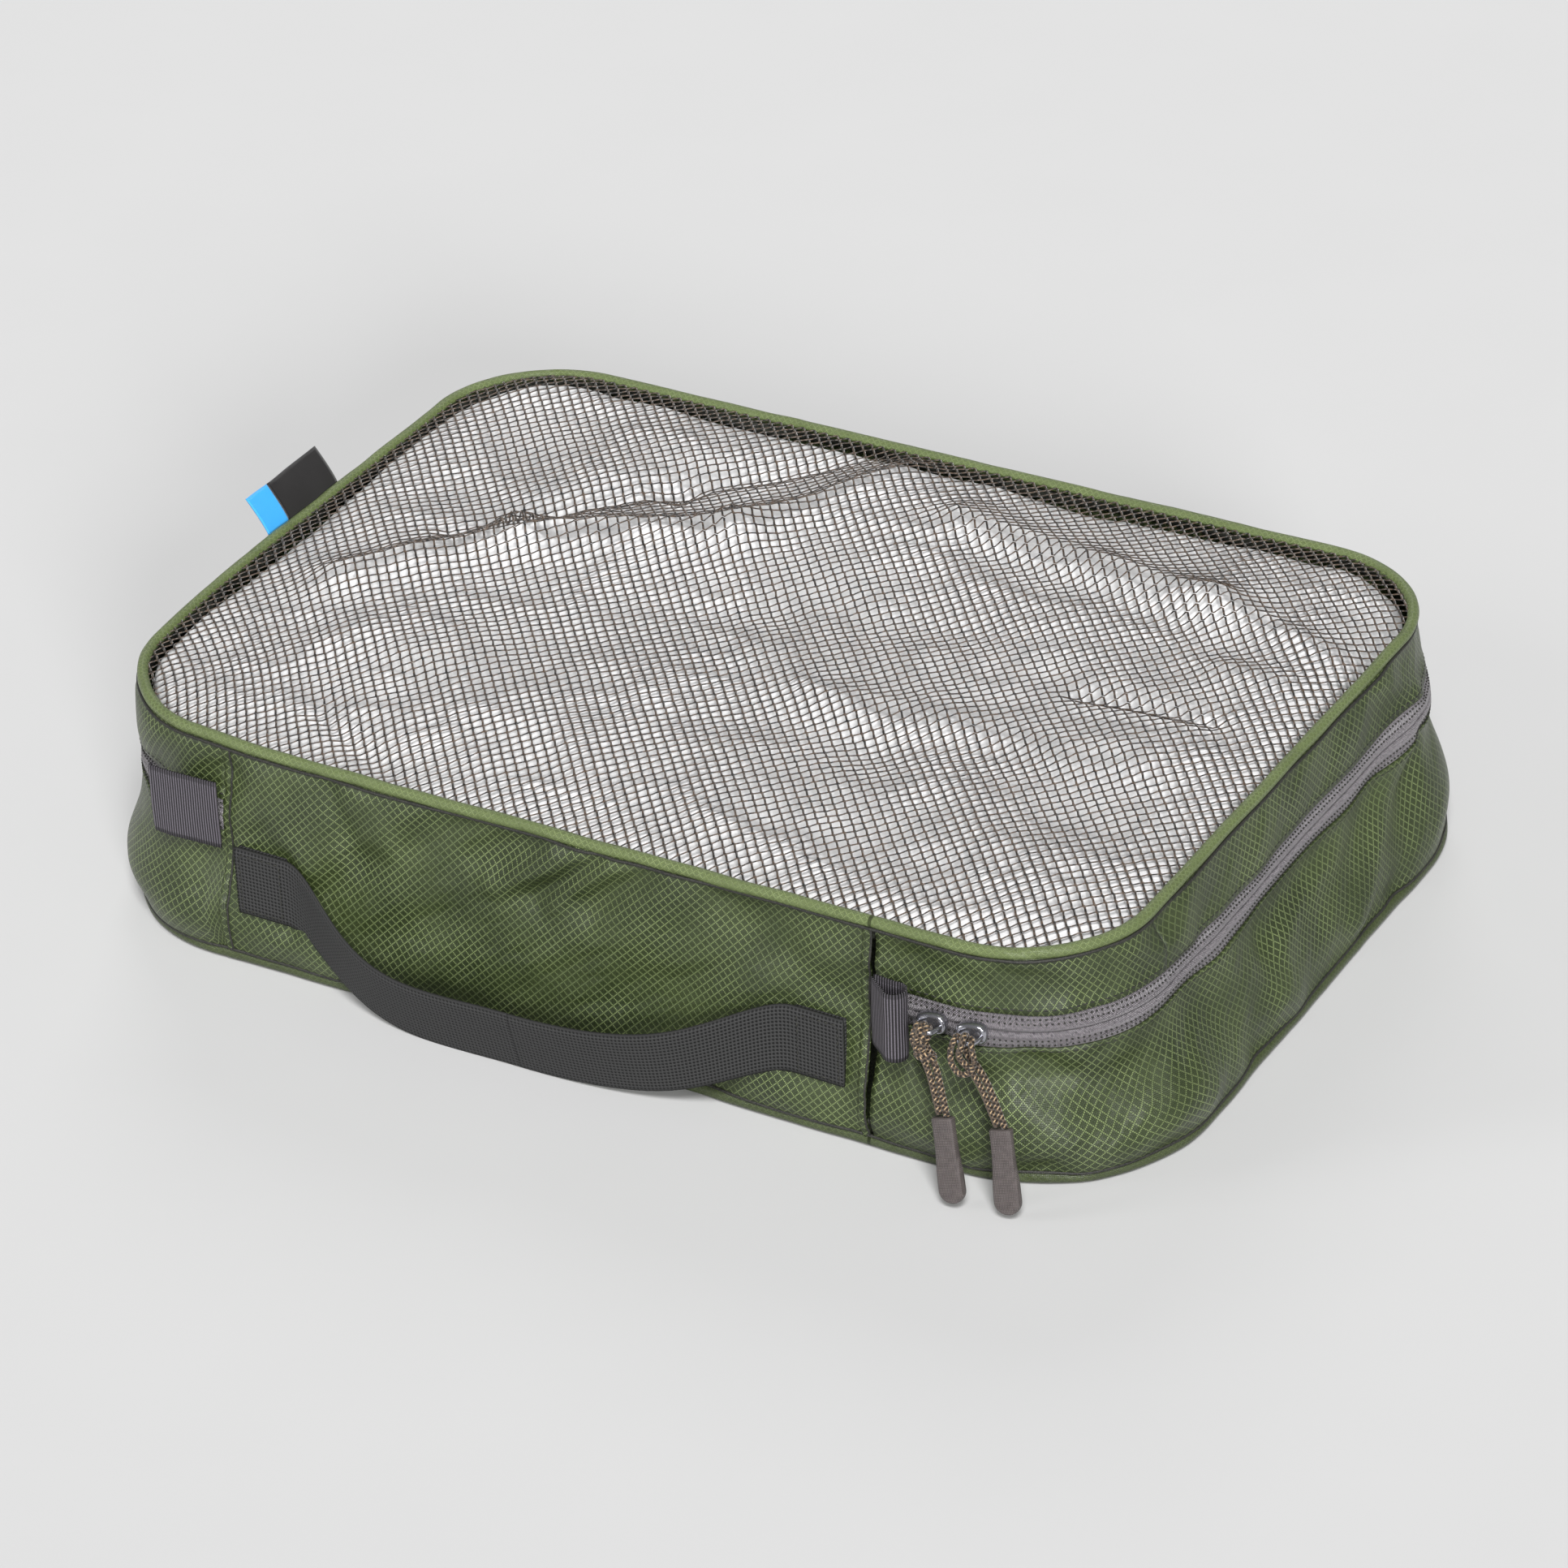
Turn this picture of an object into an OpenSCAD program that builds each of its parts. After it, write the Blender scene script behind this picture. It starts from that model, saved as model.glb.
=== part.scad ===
// Packing cube: a low fabric case with a net top, a two-way zip round three sides,
// a carry handle on the fourth side and a loose tissue sheet under the net.
// Millimetres. +X runs along the length, -Y is the handle side, z = 0 is the floor.

/* [Case] */
// Length of the top rim
rim_l = 380; // [340:1:420]
// Width of the top rim
rim_w = 280; // [250:1:310]
// Corner radius of the top rim
rim_r = 46; // [40:1:60]
// Height of the case
case_h = 83.5; // [80:0.5:90]
// Length of the base outline
base_l = 394; // [380:1:410]
// Width of the base outline
base_w = 287; // [280:1:295]
// Corner radius of the base outline
base_r = 58; // [50:1:64]
// How far the soft base leans towards +X
base_shift = 8; // [0:0.5:10]
// Thickness of the wall fabric with its lining
wall_t = 1.2; // [0.8:0.1:2]

/* [Zip] */
// Height of the zip's centre line above the floor
zip_z = 54; // [50:1:56]
// Visible width of one zip tape
tape_w = 6; // [5:0.5:7]
// X of the seam where the zip starts, right of the handle
seam_right = 115; // [108:1:118]
// X of the seam where the zip ends, left of the handle
seam_left = -128; // [-132:1:-124]

/* [Piping] */
// Radius of the rim piping
rim_pipe_r = 2.1; // [1.5:0.1:2.5]
// Radius of the base piping
base_pipe_r = 2.2; // [1.5:0.1:2.5]

/* [Handle] */
// Width of the webbing
web_w = 25; // [20:1:30]
// Thickness of the webbing
web_t = 1.8; // [1.2:0.1:2.4]
// How far the hanging strap stands out
strap_out = 14.5; // [12:0.5:18]
// How far the strap droops below its anchors
strap_drop = 20.5; // [16:0.5:21]
// Lean of the drooping strap, top edge outwards
strap_lean = 16; // [0:1:20]

/* [Pulls] */
// Diameter of the pull cord
cord_d = 2.2; // [1.8:0.1:2.4]
// Length of a grip
grip_l = 28; // [24:1:28]
// Width of a grip
grip_w = 8.6; // [7:0.2:10]
// Thickness of a grip
grip_t = 4; // [3:0.2:5]

/* [Hidden] */
$fn = 48;
gap = 0.3;
corner_steps = 8;
anchor_z = 33;
anchor_left = [-122, -103];
anchor_right = [88, 106];
strap_mid = [-66, 56];
stack = 0.35;
loop_eye = [9.6, -3.2];
tape_t = 0.9;
thread = 0.6;
slider_l = 10;
slider_h = 8;
bar_out = 9.2;
plate_face = 4.3;
bar_r = 0.7;
slider_left_x = 137.3;
slider_right_turn = 6.8;
cord_drop = 25;
pull_swing = 13;
left_lean = 10;
left_tilt = -14;
right_lean = 14;
right_tilt = -10;
knot_d = 7;
knot_z = -7;
hitch_d = 7.4;
hitch_h = 2.6;
hitch_z = -4.4;
net_t = 1;
net_rise = [[40, 4.4], [30, 4], [16, 2.8]];
tissue_t = 1.6;
tissue_rise = [[38, 2.2], [26, 1.4], [14, -1.4]];

// ---- Outline of the case at a height, as points ----

function mix(a, b, t) = a + (b - a) * t;
function up_share(z) = z / case_h;
function half_l(z) = mix(base_l, rim_l, up_share(z)) / 2;
function half_w(z) = mix(base_w, rim_w, up_share(z)) / 2;
function corner_r(z) = mix(base_r, rim_r, up_share(z));
function shift(z) = mix(base_shift, 0, up_share(z));
function front_y(z) = -half_w(z);

// One corner arc at height z, moved outwards by d; corner 0 is front right, then anticlockwise
function arc(k, z, d) =
    let (sx = [1, 1, -1, -1][k], sy = [-1, 1, 1, -1][k],
         cx = shift(z) + sx * (half_l(z) - corner_r(z)), cy = sy * (half_w(z) - corner_r(z)))
    [for (i = [0 : corner_steps]) let (a = -90 + 90 * k + 90 * i / corner_steps)
        [cx + (corner_r(z) + d) * cos(a), cy + (corner_r(z) + d) * sin(a), z]];

function corners(z, d) = [for (k = [0 : 3]) each arc(k, z, d)];
function flat(points) = [for (p = points) [p.x, p.y]];

// The path that the zip follows: right seam, round the back, left seam
function zip_path(z, d, clear) = concat(
    [[seam_right + clear, front_y(z) - d, z]],
    corners(z, d),
    [[seam_left - clear, front_y(z) - d, z]]);

// ---- Solids made from rows of points ----

// Joins matching point lists into a solid: lines[j][i] is point i on edge line j
module loft(lines, closed) {
    m = len(lines);
    n = len(lines[0]);
    points = [for (i = [0 : n - 1], j = [0 : m - 1]) lines[j][i]];
    last = closed ? n - 1 : n - 2;
    sides = [for (i = [0 : last], j = [0 : m - 1])
        let (a = i * m + j, b = i * m + (j + 1) % m,
             c = ((i + 1) % n) * m + (j + 1) % m, d = ((i + 1) % n) * m + j)
        each [[a, b, c], [a, c, d]]];
    caps = closed ? [] : [
        [for (j = [m - 1 : -1 : 0]) j],
        [for (j = [0 : m - 1]) (n - 1) * m + j]];
    polyhedron(points, concat(sides, caps), convexity = 6);
}

// A strip of fabric round the zip path, from z0 up to z1, outer face d out
module zip_band(z0, z1, d, t, clear) {
    loft([zip_path(z0, d, clear), zip_path(z1, d, clear),
          zip_path(z1, d - t, clear), zip_path(z0, d - t, clear)], false);
}

// A strip of fabric all the way round
module full_band(z0, z1, d, t) {
    loft([corners(z0, d), corners(z1, d), corners(z1, d - t), corners(z0, d - t)], true);
}

// A round welt all the way round, its outside on the outline moved out by d
module welt(z, r, d) {
    sides = 10;
    loft([for (j = [0 : sides - 1]) let (a = -360 * j / sides)
        [for (p = corners(z, d - r + r * cos(a))) [p.x, p.y, z + r * sin(a)]]], true);
}

// A flat strap standing on edge, swept through centre points with a lean at each
module webbing(stations) {
    w = web_w / 2;
    t = web_t / 2;
    edges = [[-t, -w], [-t, w], [t, w], [t, -w]];
    loft([for (e = edges) [for (s = stations)
        [s[0], s[1] + e[0] * cos(s[3]) - e[1] * sin(s[3]),
         s[2] + e[0] * sin(s[3]) + e[1] * cos(s[3])]]], false);
}

// Centre line of the strap: x, y, z and lean, flat at both anchors and sagging between
function strap_station(x) =
    let (span = anchor_right[0] - anchor_left[1],
         s = 2 * (x - (anchor_left[1] + anchor_right[0]) / 2) / span,
         f = pow(1 - pow(abs(s), 4), 2) * (1 - 0.24 * s * sqrt(abs(s))))
    [x, front_y(anchor_z) - web_t / 2 - stack - strap_out * f, anchor_z - strap_drop * f,
     strap_lean * f];

module strap_piece(x0, x1) {
    steps = ceil((x1 - x0) / 6);
    webbing([for (i = [0 : steps]) strap_station(mix(x0, x1, i / steps))]);
}

module front_plate(x0, x1, z0, z1, d, t) {
    loft([[[x0, front_y(z0) - d, z0], [x1, front_y(z0) - d, z0]],
          [[x0, front_y(z1) - d, z1], [x1, front_y(z1) - d, z1]],
          [[x0, front_y(z1) - d + t, z1], [x1, front_y(z1) - d + t, z1]],
          [[x0, front_y(z0) - d + t, z0], [x1, front_y(z0) - d + t, z0]]], false);
}

// ---- Base ----

low_z = 2 * base_pipe_r + 0.1;
wall_in = -1.1;
tape_low = zip_z - tape_w;
tape_high = zip_z + tape_w;
rim_pipe_z = case_h - rim_pipe_r;
rim_under = rim_pipe_z - rim_pipe_r - gap;

module bottom_panel() {
    color("#5f6a35") linear_extrude(height = 1.6) polygon(flat(corners(0, -2 * base_pipe_r - 0.2)));
}

module bottom_piping() {
    color("#4b5129") welt(base_pipe_r, base_pipe_r, 0);
}

module lower_wall() {
    color("#6f7a3c") zip_band(low_z, tape_low - 0.1, wall_in, wall_t, 1.7);
}

module front_panel() {
    color("#6f7a3c")
        front_plate(seam_left + 1.6, seam_right - 1.6, low_z, rim_under, wall_in, wall_t);
}

module seam_binding(x) {
    color("#39402a") front_plate(x - 1.4, x + 1.4, low_z, rim_under, wall_in + 0.6, wall_t + 0.6);
}

module seam_binding_left() seam_binding(seam_left);

module seam_binding_right() seam_binding(seam_right);

module bottom_binding() {
    color("#2b2d26") full_band(low_z, 11, wall_in - wall_t - 0.1, 0.8);
}

module lower_zip_tape() {
    color("#413d45") zip_band(tape_low, zip_z - 1.3, wall_in + 0.2, tape_t, 1.6);
}

module lower_zip_coil() {
    color("#4a454f") zip_band(zip_z - 1.2, zip_z - gap / 2, wall_in + 0.4, 1.4, 5);
}

module lower_topstitch() {
    color("#23241c") zip_band(tape_low - 1.9, tape_low - 1.3, wall_in + thread, thread, 1.8);
}

module end_tab() {
    color("#7d747c")
        front_plate(seam_left - 27, seam_left - 1.7, zip_z - 11, zip_z + 14, wall_in + 2.7, 1.1);
}

// Teardrop outline: a round end of radius r joined to the tail at tail_x
function teardrop(r, tail_x, tail_h) = concat(
    [[tail_x, -tail_h], [tail_x, tail_h]],
    [for (i = [0 : 12]) let (a = 90 - 15 * i) [loop_eye.x + r * cos(a), loop_eye.y + r * sin(a)]]);

// Ribbon folded into a standing teardrop, its tails sewn into the right seam
module side_loop() {
    color("#7d747c") translate([seam_right + 1.8, front_y(zip_z) - 1.7, zip_z - 13.5])
        linear_extrude(height = web_w) difference() {
            polygon(teardrop(4.4, 0, 1.2));
            polygon(teardrop(3.3, 4, 0.4));
        }
}

module anchor_patch(xs) {
    color("#4c4c4c")
        front_plate(xs[0], xs[1], anchor_z - web_w / 2, anchor_z + web_w / 2, wall_in + 3.2, 3.1);
}

module anchor_patch_left() anchor_patch(anchor_left);

module anchor_patch_right() anchor_patch(anchor_right);

module zip_stop(x) {
    color("#2a2a2d") front_plate(x - 1, x + 1, zip_z - 3, zip_z - gap, wall_in + 1.4, 1.1);
}

module zip_stop_left() zip_stop(seam_left - 3.4);

module zip_stop_right() zip_stop(seam_right + 3.4);

// ---- Lid ----

module upper_wall() {
    color("#6f7a3c") zip_band(tape_high + 0.1, rim_under, wall_in, wall_t, 1.7);
}

module upper_zip_tape() {
    color("#413d45") zip_band(zip_z + 1.3, tape_high, wall_in + 0.2, tape_t, 1.7);
}

module upper_zip_coil() {
    color("#4a454f") zip_band(zip_z + gap / 2, zip_z + 1.2, wall_in + 0.4, 1.4, 5);
}

module upper_topstitch() {
    color("#23241c") zip_band(tape_high + 1.3, tape_high + 1.9, wall_in + thread, thread, 1.8);
}

module top_piping() {
    color("#737e3e") welt(rim_pipe_z, rim_pipe_r, 0);
}

module top_binding() {
    color("#2b2d26") full_band(rim_under - 3, rim_under, wall_in - wall_t - gap, 0.8);
}

// A shallow dome under the rim: rings of [inset from the outline, height], top middle first
module dome(rings) {
    count = len(corners(case_h, 0));
    loft([for (j = [0 : count - 1]) [for (r = rings)
        let (p = corners(case_h, -r[0])[j]) [p.x, p.y, rim_pipe_z + r[1]]]], false);
}

// The same rings followed back along the underside, t lower
function both_faces(rings, t) = concat(
    rings, [for (i = [len(rings) - 1 : -1 : 0]) [rings[i][0], rings[i][1] - t]]);

module net_panel() {
    hem = [2 * rim_pipe_r + 0.1, 0.4];
    color("#3b2f26") dome(both_faces(concat(net_rise, [hem]), net_t));
}

module tissue_sheet() {
    color("#e9e9ea") dome(both_faces(tissue_rise, tissue_t));
}

// A strip of folded ribbon standing up and outwards from the left rim
module label_strip(y0, y1) {
    x_in = -rim_l / 2 - 0.05;
    loft([for (p = [[0, 0], [-9, 13], [-9.9, 12.4], [-0.9, -0.6]])
        [[x_in + p.x, y0, rim_pipe_z + p.y], [x_in + p.x, y1, rim_pipe_z + p.y]]], false);
}

module side_label() {
    color("#17171a") label_strip(-3, 28);
}

module label_end() {
    color("#2c5f9e") label_strip(-15, -3.1);
}

// ---- Handle ----

module handle_strap() {
    color("#474747") strap_piece(strap_mid[0], strap_mid[1]);
}

module handle_leg_left() {
    color("#474747") strap_piece(anchor_left[1] + 0.1, strap_mid[0] - 0.1);
}

module handle_leg_right() {
    color("#474747") strap_piece(strap_mid[1] + 0.1, anchor_right[0] - 0.1);
}

// ---- Sliders and pulls, drawn facing -Y with the zip's centre at the origin ----

module slider_shape() {
    color("#2b2b2e") translate([0, -0.9, 0]) rotate([90, 0, 0])
        linear_extrude(height = plate_face - 0.9) union() {
            square([slider_l - 3, slider_h], center = true);
            translate([1.6, 0]) circle(d = slider_h);
            translate([-1, 0]) square([slider_l - 2, slider_h - 2.4], center = true);
        }
}

// Arch over the slider that carries the pull's bar
module bail_shape() {
    reach = bar_out - plate_face + bar_r;
    color("#39393d") translate([0, -plate_face, 0]) rotate([90, 0, 0]) difference() {
        translate([-4, -bar_r, 0]) cube([8, 2 * bar_r, reach]);
        translate([-2.9, -2, -1]) cube([5.8, 4, reach - 2 * bar_r + 1]);
    }
}

// Doubled cord: up from the grip, over the bar and back down; the runs lie one in front of
// the other at the bar and side by side at the grip, whose top is lean away from the bar
function cord_route(lean) = [
    [lean - 1.3, 0, -cord_drop],
    [0.6 * lean - 1.3, -0.3, -14],
    [0.3 * lean - 1.1, -1, -8],
    [-0.5, -2.1, -4],
    [0, -2.5, 0],
    [0, -1.8, 1.8],
    [0, 0, 2.5],
    [0, 1.8, 1.8],
    [0, 2.5, 0],
    [0.5, 2.1, -4],
    [0.3 * lean + 1.1, 1, -8],
    [0.6 * lean + 1.3, 0.3, -14],
    [lean + 1.3, 0, -cord_drop]
];

function unit(v) = v / norm(v);

// A round cord through the route's points; every ring stands across the route
module cord(route) {
    n = len(route);
    r = cord_d / 2;
    side = [1, 0, 0];
    loft([for (j = [0 : 7]) let (a = -45 * j)
        [for (i = [0 : n - 1])
            let (along = unit(route[min(i + 1, n - 1)] - route[max(i - 1, 0)]),
                 across = unit(side - along * (side * along)), over = cross(along, across))
            route[i] + r * cos(a) * across + r * sin(a) * over]], false);
}

// Swings a pull outwards about its slider's bar, so that its tip nears the table in front
module hung() translate([0, -bar_out, 0]) rotate([-pull_swing, 0, 0]) children();

module pull_cord(lean) {
    color("#2a211b") hung() cord(cord_route(lean));
}

// The grip hangs just under the cord's two ends; a tilted grip sits lower to stay clear
module pull_grip(lean, tilt) {
    top = -cord_drop - 0.1 - 2.4 * abs(sin(tilt));
    color("#1d1d1f") hung() translate([lean, 0, top]) rotate([0, tilt, 0])
        translate([0, grip_t / 2, 0]) rotate([90, 0, 0])
            linear_extrude(height = grip_t) union() {
                translate([-grip_w / 2, -grip_l + grip_w / 2])
                    square([grip_w, grip_l - grip_w / 2]);
                translate([0, -grip_l + grip_w / 2]) circle(d = grip_w);
            }
}

module at_left_slider() {
    translate([slider_left_x, front_y(zip_z) - wall_in, zip_z]) children();
}

module at_right_slider() {
    r = corner_r(zip_z);
    translate([shift(zip_z) + half_l(zip_z) - r, front_y(zip_z) + r, zip_z])
        rotate([0, 0, slider_right_turn]) translate([0, -r - wall_in, 0]) children();
}

module slider_left() at_left_slider() slider_shape();

module slider_left_bail() at_left_slider() bail_shape();

module slider_right() at_right_slider() slider_shape();

module slider_right_bail() at_right_slider() bail_shape();

module pull_left_cord() at_left_slider() pull_cord(left_lean);

module pull_left_knot() {
    color("#2a211b") at_left_slider() hung() translate([0.25 * left_lean, 0, knot_z])
        sphere(d = knot_d, $fn = 24);
}

module pull_left_grip() at_left_slider() pull_grip(left_lean, left_tilt);

module pull_right_cord() at_right_slider() pull_cord(right_lean);

module pull_right_hitch() {
    color("#2a211b") at_right_slider() hung() translate([0.15 * right_lean, 0, hitch_z])
        rotate([0, -10, 0]) cylinder(d = hitch_d, h = hitch_h, center = true);
}

module pull_right_grip() at_right_slider() pull_grip(right_lean, right_tilt);

bottom_panel();
bottom_piping();
lower_wall();
front_panel();
seam_binding_left();
seam_binding_right();
bottom_binding();
lower_zip_tape();
lower_zip_coil();
lower_topstitch();
end_tab();
side_loop();
anchor_patch_left();
anchor_patch_right();
zip_stop_left();
zip_stop_right();
upper_wall();
upper_zip_tape();
upper_zip_coil();
upper_topstitch();
top_piping();
top_binding();
net_panel();
tissue_sheet();
side_label();
label_end();
handle_strap();
handle_leg_left();
handle_leg_right();
slider_left();
slider_left_bail();
slider_right();
slider_right_bail();
pull_left_cord();
pull_left_knot();
pull_left_grip();
pull_right_cord();
pull_right_hitch();
pull_right_grip();
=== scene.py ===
# %% [markdown]
# # A packing cube with a net top
# The object is a low fabric case: ripstop walls, a welt round the rim and the base, a two-way
# zip on three sides, a webbing handle on the fourth, and a net lid with crumpled tissue under
# it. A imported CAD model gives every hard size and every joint. Here each soft part is made
# again as the cloth, cord or ribbon that it really is.
import math

import bpy
import numpy as np
from mathutils import Matrix, Vector


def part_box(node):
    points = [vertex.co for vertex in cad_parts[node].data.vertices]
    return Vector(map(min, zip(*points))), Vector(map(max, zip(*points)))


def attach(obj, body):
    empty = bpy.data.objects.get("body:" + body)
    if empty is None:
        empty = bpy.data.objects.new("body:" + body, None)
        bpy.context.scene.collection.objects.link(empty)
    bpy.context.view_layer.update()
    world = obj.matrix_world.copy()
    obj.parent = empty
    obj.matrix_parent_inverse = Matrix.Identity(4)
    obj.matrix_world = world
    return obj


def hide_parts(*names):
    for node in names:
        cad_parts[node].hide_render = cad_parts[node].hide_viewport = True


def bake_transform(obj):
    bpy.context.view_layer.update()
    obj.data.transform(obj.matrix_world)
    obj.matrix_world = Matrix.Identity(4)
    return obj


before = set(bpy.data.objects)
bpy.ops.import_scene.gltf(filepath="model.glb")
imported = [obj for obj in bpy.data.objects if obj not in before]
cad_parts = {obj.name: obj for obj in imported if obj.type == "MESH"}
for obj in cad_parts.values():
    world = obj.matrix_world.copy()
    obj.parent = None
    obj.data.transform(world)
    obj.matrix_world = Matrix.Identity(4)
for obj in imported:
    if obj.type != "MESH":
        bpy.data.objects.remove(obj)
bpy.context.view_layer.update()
scene = bpy.context.scene

# %% [markdown]
# ## The camera
# A long lens from high on the right shows the front, the right side and the whole net. It
# could be aimed by a constraint, but a matrix built from three directions also takes the
# small roll of a hand-held picture.

# %% Camera
CAMERA_AT = Vector((0.8832, -1.4997, 1.0815))
CAMERA_AIM = Vector((0.0515, -0.0816, 0.0834))
CAMERA_ROLL = math.radians(-2)
LENS, SENSOR = 137.9, 36.0


def aim_camera():
    """Axes: back is from aim to camera, right is level, up completes them; then both roll."""
    back = (CAMERA_AT - CAMERA_AIM).normalized()
    right = Vector((0, 0, 1)).cross(back).normalized()
    up = back.cross(right)
    c, s = math.cos(CAMERA_ROLL), math.sin(CAMERA_ROLL)
    right, up = right * c + up * s, up * c - right * s
    turn = Matrix((right, up, back)).transposed().to_4x4()
    data = bpy.data.cameras.new("camera")
    data.lens, data.sensor_width = LENS, SENSOR
    camera = bpy.data.objects.new("camera", data)
    camera.matrix_world = Matrix.Translation(CAMERA_AT) @ turn
    scene.collection.objects.link(camera)
    scene.camera = camera


aim_camera()

# %% [markdown]
# ## Turning arrays into meshes
# A mesh can be edited vertex by vertex, or a whole surface can be worked out as an array and
# handed over at once. Arrays are faster and their formula can be read, so every new piece
# goes through the helpers below. Shapes are worked out in millimetres.

# %% Mesh from arrays
MM = 0.001


def build(name, raw, body=None):
    """Makes an object from raw = (points in mm, list of face arrays, uv per point in mm)."""
    points, blocks, uv = raw
    mesh = bpy.data.meshes.new(name)
    sizes = np.concatenate([np.full(len(b), b.shape[1]) for b in blocks])
    corners = np.concatenate([b.ravel() for b in blocks]).astype(np.int32)
    mesh.vertices.add(len(points))
    mesh.vertices.foreach_set("co", (points * MM).astype(np.float32).ravel())
    mesh.loops.add(len(corners))
    mesh.loops.foreach_set("vertex_index", corners)
    mesh.polygons.add(len(sizes))
    starts = np.concatenate([[0], np.cumsum(sizes)[:-1]]).astype(np.int32)
    mesh.polygons.foreach_set("loop_start", starts)
    mesh.polygons.foreach_set("use_smooth", np.ones(len(sizes), bool))
    layer = mesh.uv_layers.new(name="cloth")
    layer.data.foreach_set("uv", uv[corners].astype(np.float32).ravel())
    mesh.update(calc_edges=True)
    mesh.validate()
    obj = bpy.data.objects.new(name, mesh)
    scene.collection.objects.link(obj)
    if body:
        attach(obj, body)
    return obj


def joined(raws):
    """One raw surface from many, with the face numbers moved on past the points before."""
    points, uv, blocks, start = [], [], [], 0
    for raw_points, raw_blocks, raw_uv in raws:
        points.append(raw_points)
        uv.append(raw_uv)
        blocks += [b + start for b in raw_blocks]
        start += len(raw_points)
    return np.concatenate(points), blocks, np.concatenate(uv)


def quads(n, m, wrap=False):
    """Faces between n rows of m points; row direction x column direction is outwards."""
    i = np.arange(n if wrap else n - 1)[:, None]
    j = np.arange(m - 1)[None, :]
    here, there = i * m + j, (i + 1) % n * m + j
    return np.stack([here, there, there + 1, here + 1], -1).reshape(-1, 4)


# %% [markdown]
# ## Cloth with a thickness
# A Solidify modifier gives cloth its thickness, but here the shell is closed directly as a
# finished mesh: an outer grid, the same grid moved in, and a strip of faces round the edge.

# %% Shells and tubes
def shell(outer, inner, uv, wrap=False):
    """Closed sheet: the outer grid, the inner grid turned over, and a strip round the rim."""
    n, m, _ = outer.shape
    face = quads(n, m, wrap)
    index = np.arange(n * m).reshape(n, m)
    if wrap:
        loops = [np.append(index[:, 0], index[0, 0]), np.append(index[::-1, -1], index[-1, -1])]
    else:
        loops = [np.concatenate([index[:, 0], index[-1, 1:], index[-2::-1, -1],
                                 index[0, -2::-1]])]
    strips = [np.stack([loop[1:], loop[:-1], loop[:-1] + n * m, loop[1:] + n * m], -1)
              for loop in loops]
    points = np.concatenate([outer.reshape(-1, 3), inner.reshape(-1, 3)])
    flat = uv.reshape(-1, 2)
    return points, [face, face[:, ::-1] + n * m, *strips], np.concatenate([flat, flat])


def unit(v):
    """Vectors divided by their length."""
    return v / np.maximum(np.linalg.norm(v, axis=-1, keepdims=True), 1e-9)


def ring_profile(sides, wide=1.0, high=1.0):
    """Points (wide cos a, high sin a) round one turn."""
    a = 2 * math.pi * np.arange(sides) / sides
    return np.stack([wide * np.cos(a), high * np.sin(a)], -1)


def tube(path, up, profile, scale=1.0, closed=False):
    """Profile carried along a path: point = path + x across + y over, where across is
    up x along and over is along x across. Open ends get a flat cap."""
    path = np.asarray(path, float)
    n, m = len(path), len(profile)
    if closed:
        along = np.roll(path, -1, 0) - np.roll(path, 1, 0)
    else:
        along = np.gradient(path, axis=0)
    along = unit(along)
    across = unit(np.cross(np.broadcast_to(up, path.shape), along))
    over = np.cross(along, across)
    size = np.broadcast_to(scale, n)[:, None, None]
    x, y = profile[None, :, :1] * size, profile[None, :, 1:] * size
    points = path[:, None] + x * across[:, None] + y * over[:, None]
    i = np.arange(n if closed else n - 1)[:, None]
    j = np.arange(m)[None, :]
    row, below = i * m, (i + 1) % n * m
    right = (j + 1) % m
    face = np.stack([row + j, row + right, below + right, below + j], -1).reshape(-1, 4)
    step = np.linalg.norm(np.diff(path, axis=0), axis=1)
    run = np.concatenate([[0], np.cumsum(step)])
    around = np.linalg.norm(profile, axis=1).mean() * 2 * math.pi * np.arange(m) / m
    uv = np.stack(np.broadcast_arrays(run[:, None], around[None, :]), -1).reshape(-1, 2)
    blocks = [face]
    if not closed:
        blocks += [np.arange(m)[None, ::-1], (n - 1) * m + np.arange(m)[None, :]]
    return points.reshape(-1, 3), blocks, uv


def stitches(start, end, out, radius=0.3, rings=4, sides=6):
    """A stub of thread from each start to each end: ring radius is r sqrt(1 - t^2) with t
    from -0.85 to 0.85, so that every stitch has round ends."""
    k = len(start)
    along = unit(end - start)
    over = unit(np.broadcast_to(out, start.shape))
    across = unit(np.cross(over, along))
    over = np.cross(along, across)
    t = np.linspace(-0.85, 0.85, rings)
    size = radius * np.sqrt(1 - t**2)
    centre = start[:, None] + (end - start)[:, None] * (t[None, :, None] + 1) / 2
    ring = ring_profile(sides)
    points = (centre[:, :, None] + (size[:, None] * ring[:, 0])[None, ..., None] *
              across[:, None, None] + (size[:, None] * ring[:, 1])[None, ..., None] *
              over[:, None, None])
    i, j = np.arange(rings - 1)[:, None], np.arange(sides)[None, :]
    right = (j + 1) % sides
    face = np.stack([i * sides + j, i * sides + right, (i + 1) * sides + right,
                     (i + 1) * sides + j], -1).reshape(1, -1, 4)
    first = (np.arange(k) * rings * sides)[:, None, None]
    cap = np.arange(sides)[None, None, :]
    last = first + (rings - 1) * sides + cap
    blocks = [(face + first).reshape(-1, 4), (first + cap)[:, 0, ::-1], last[:, 0]]
    uv = np.zeros((k * rings * sides, 2))
    return points.reshape(-1, 3), blocks, uv


# %% [markdown]
# ## Random folds that repeat
# Blender has noise textures for a Displace modifier, but the same folds must move the wall,
# the zip and the welt together. A small value noise in numpy gives one function for them all:
# random heights on a lattice, eased between neighbours.

# %% Noise and folds
def eased(t):
    """Smooth step from 0 to 1: t t (3 - 2 t), with t kept inside 0 to 1."""
    t = np.clip(t, 0, 1)
    return t * t * (3 - 2 * t)


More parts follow.
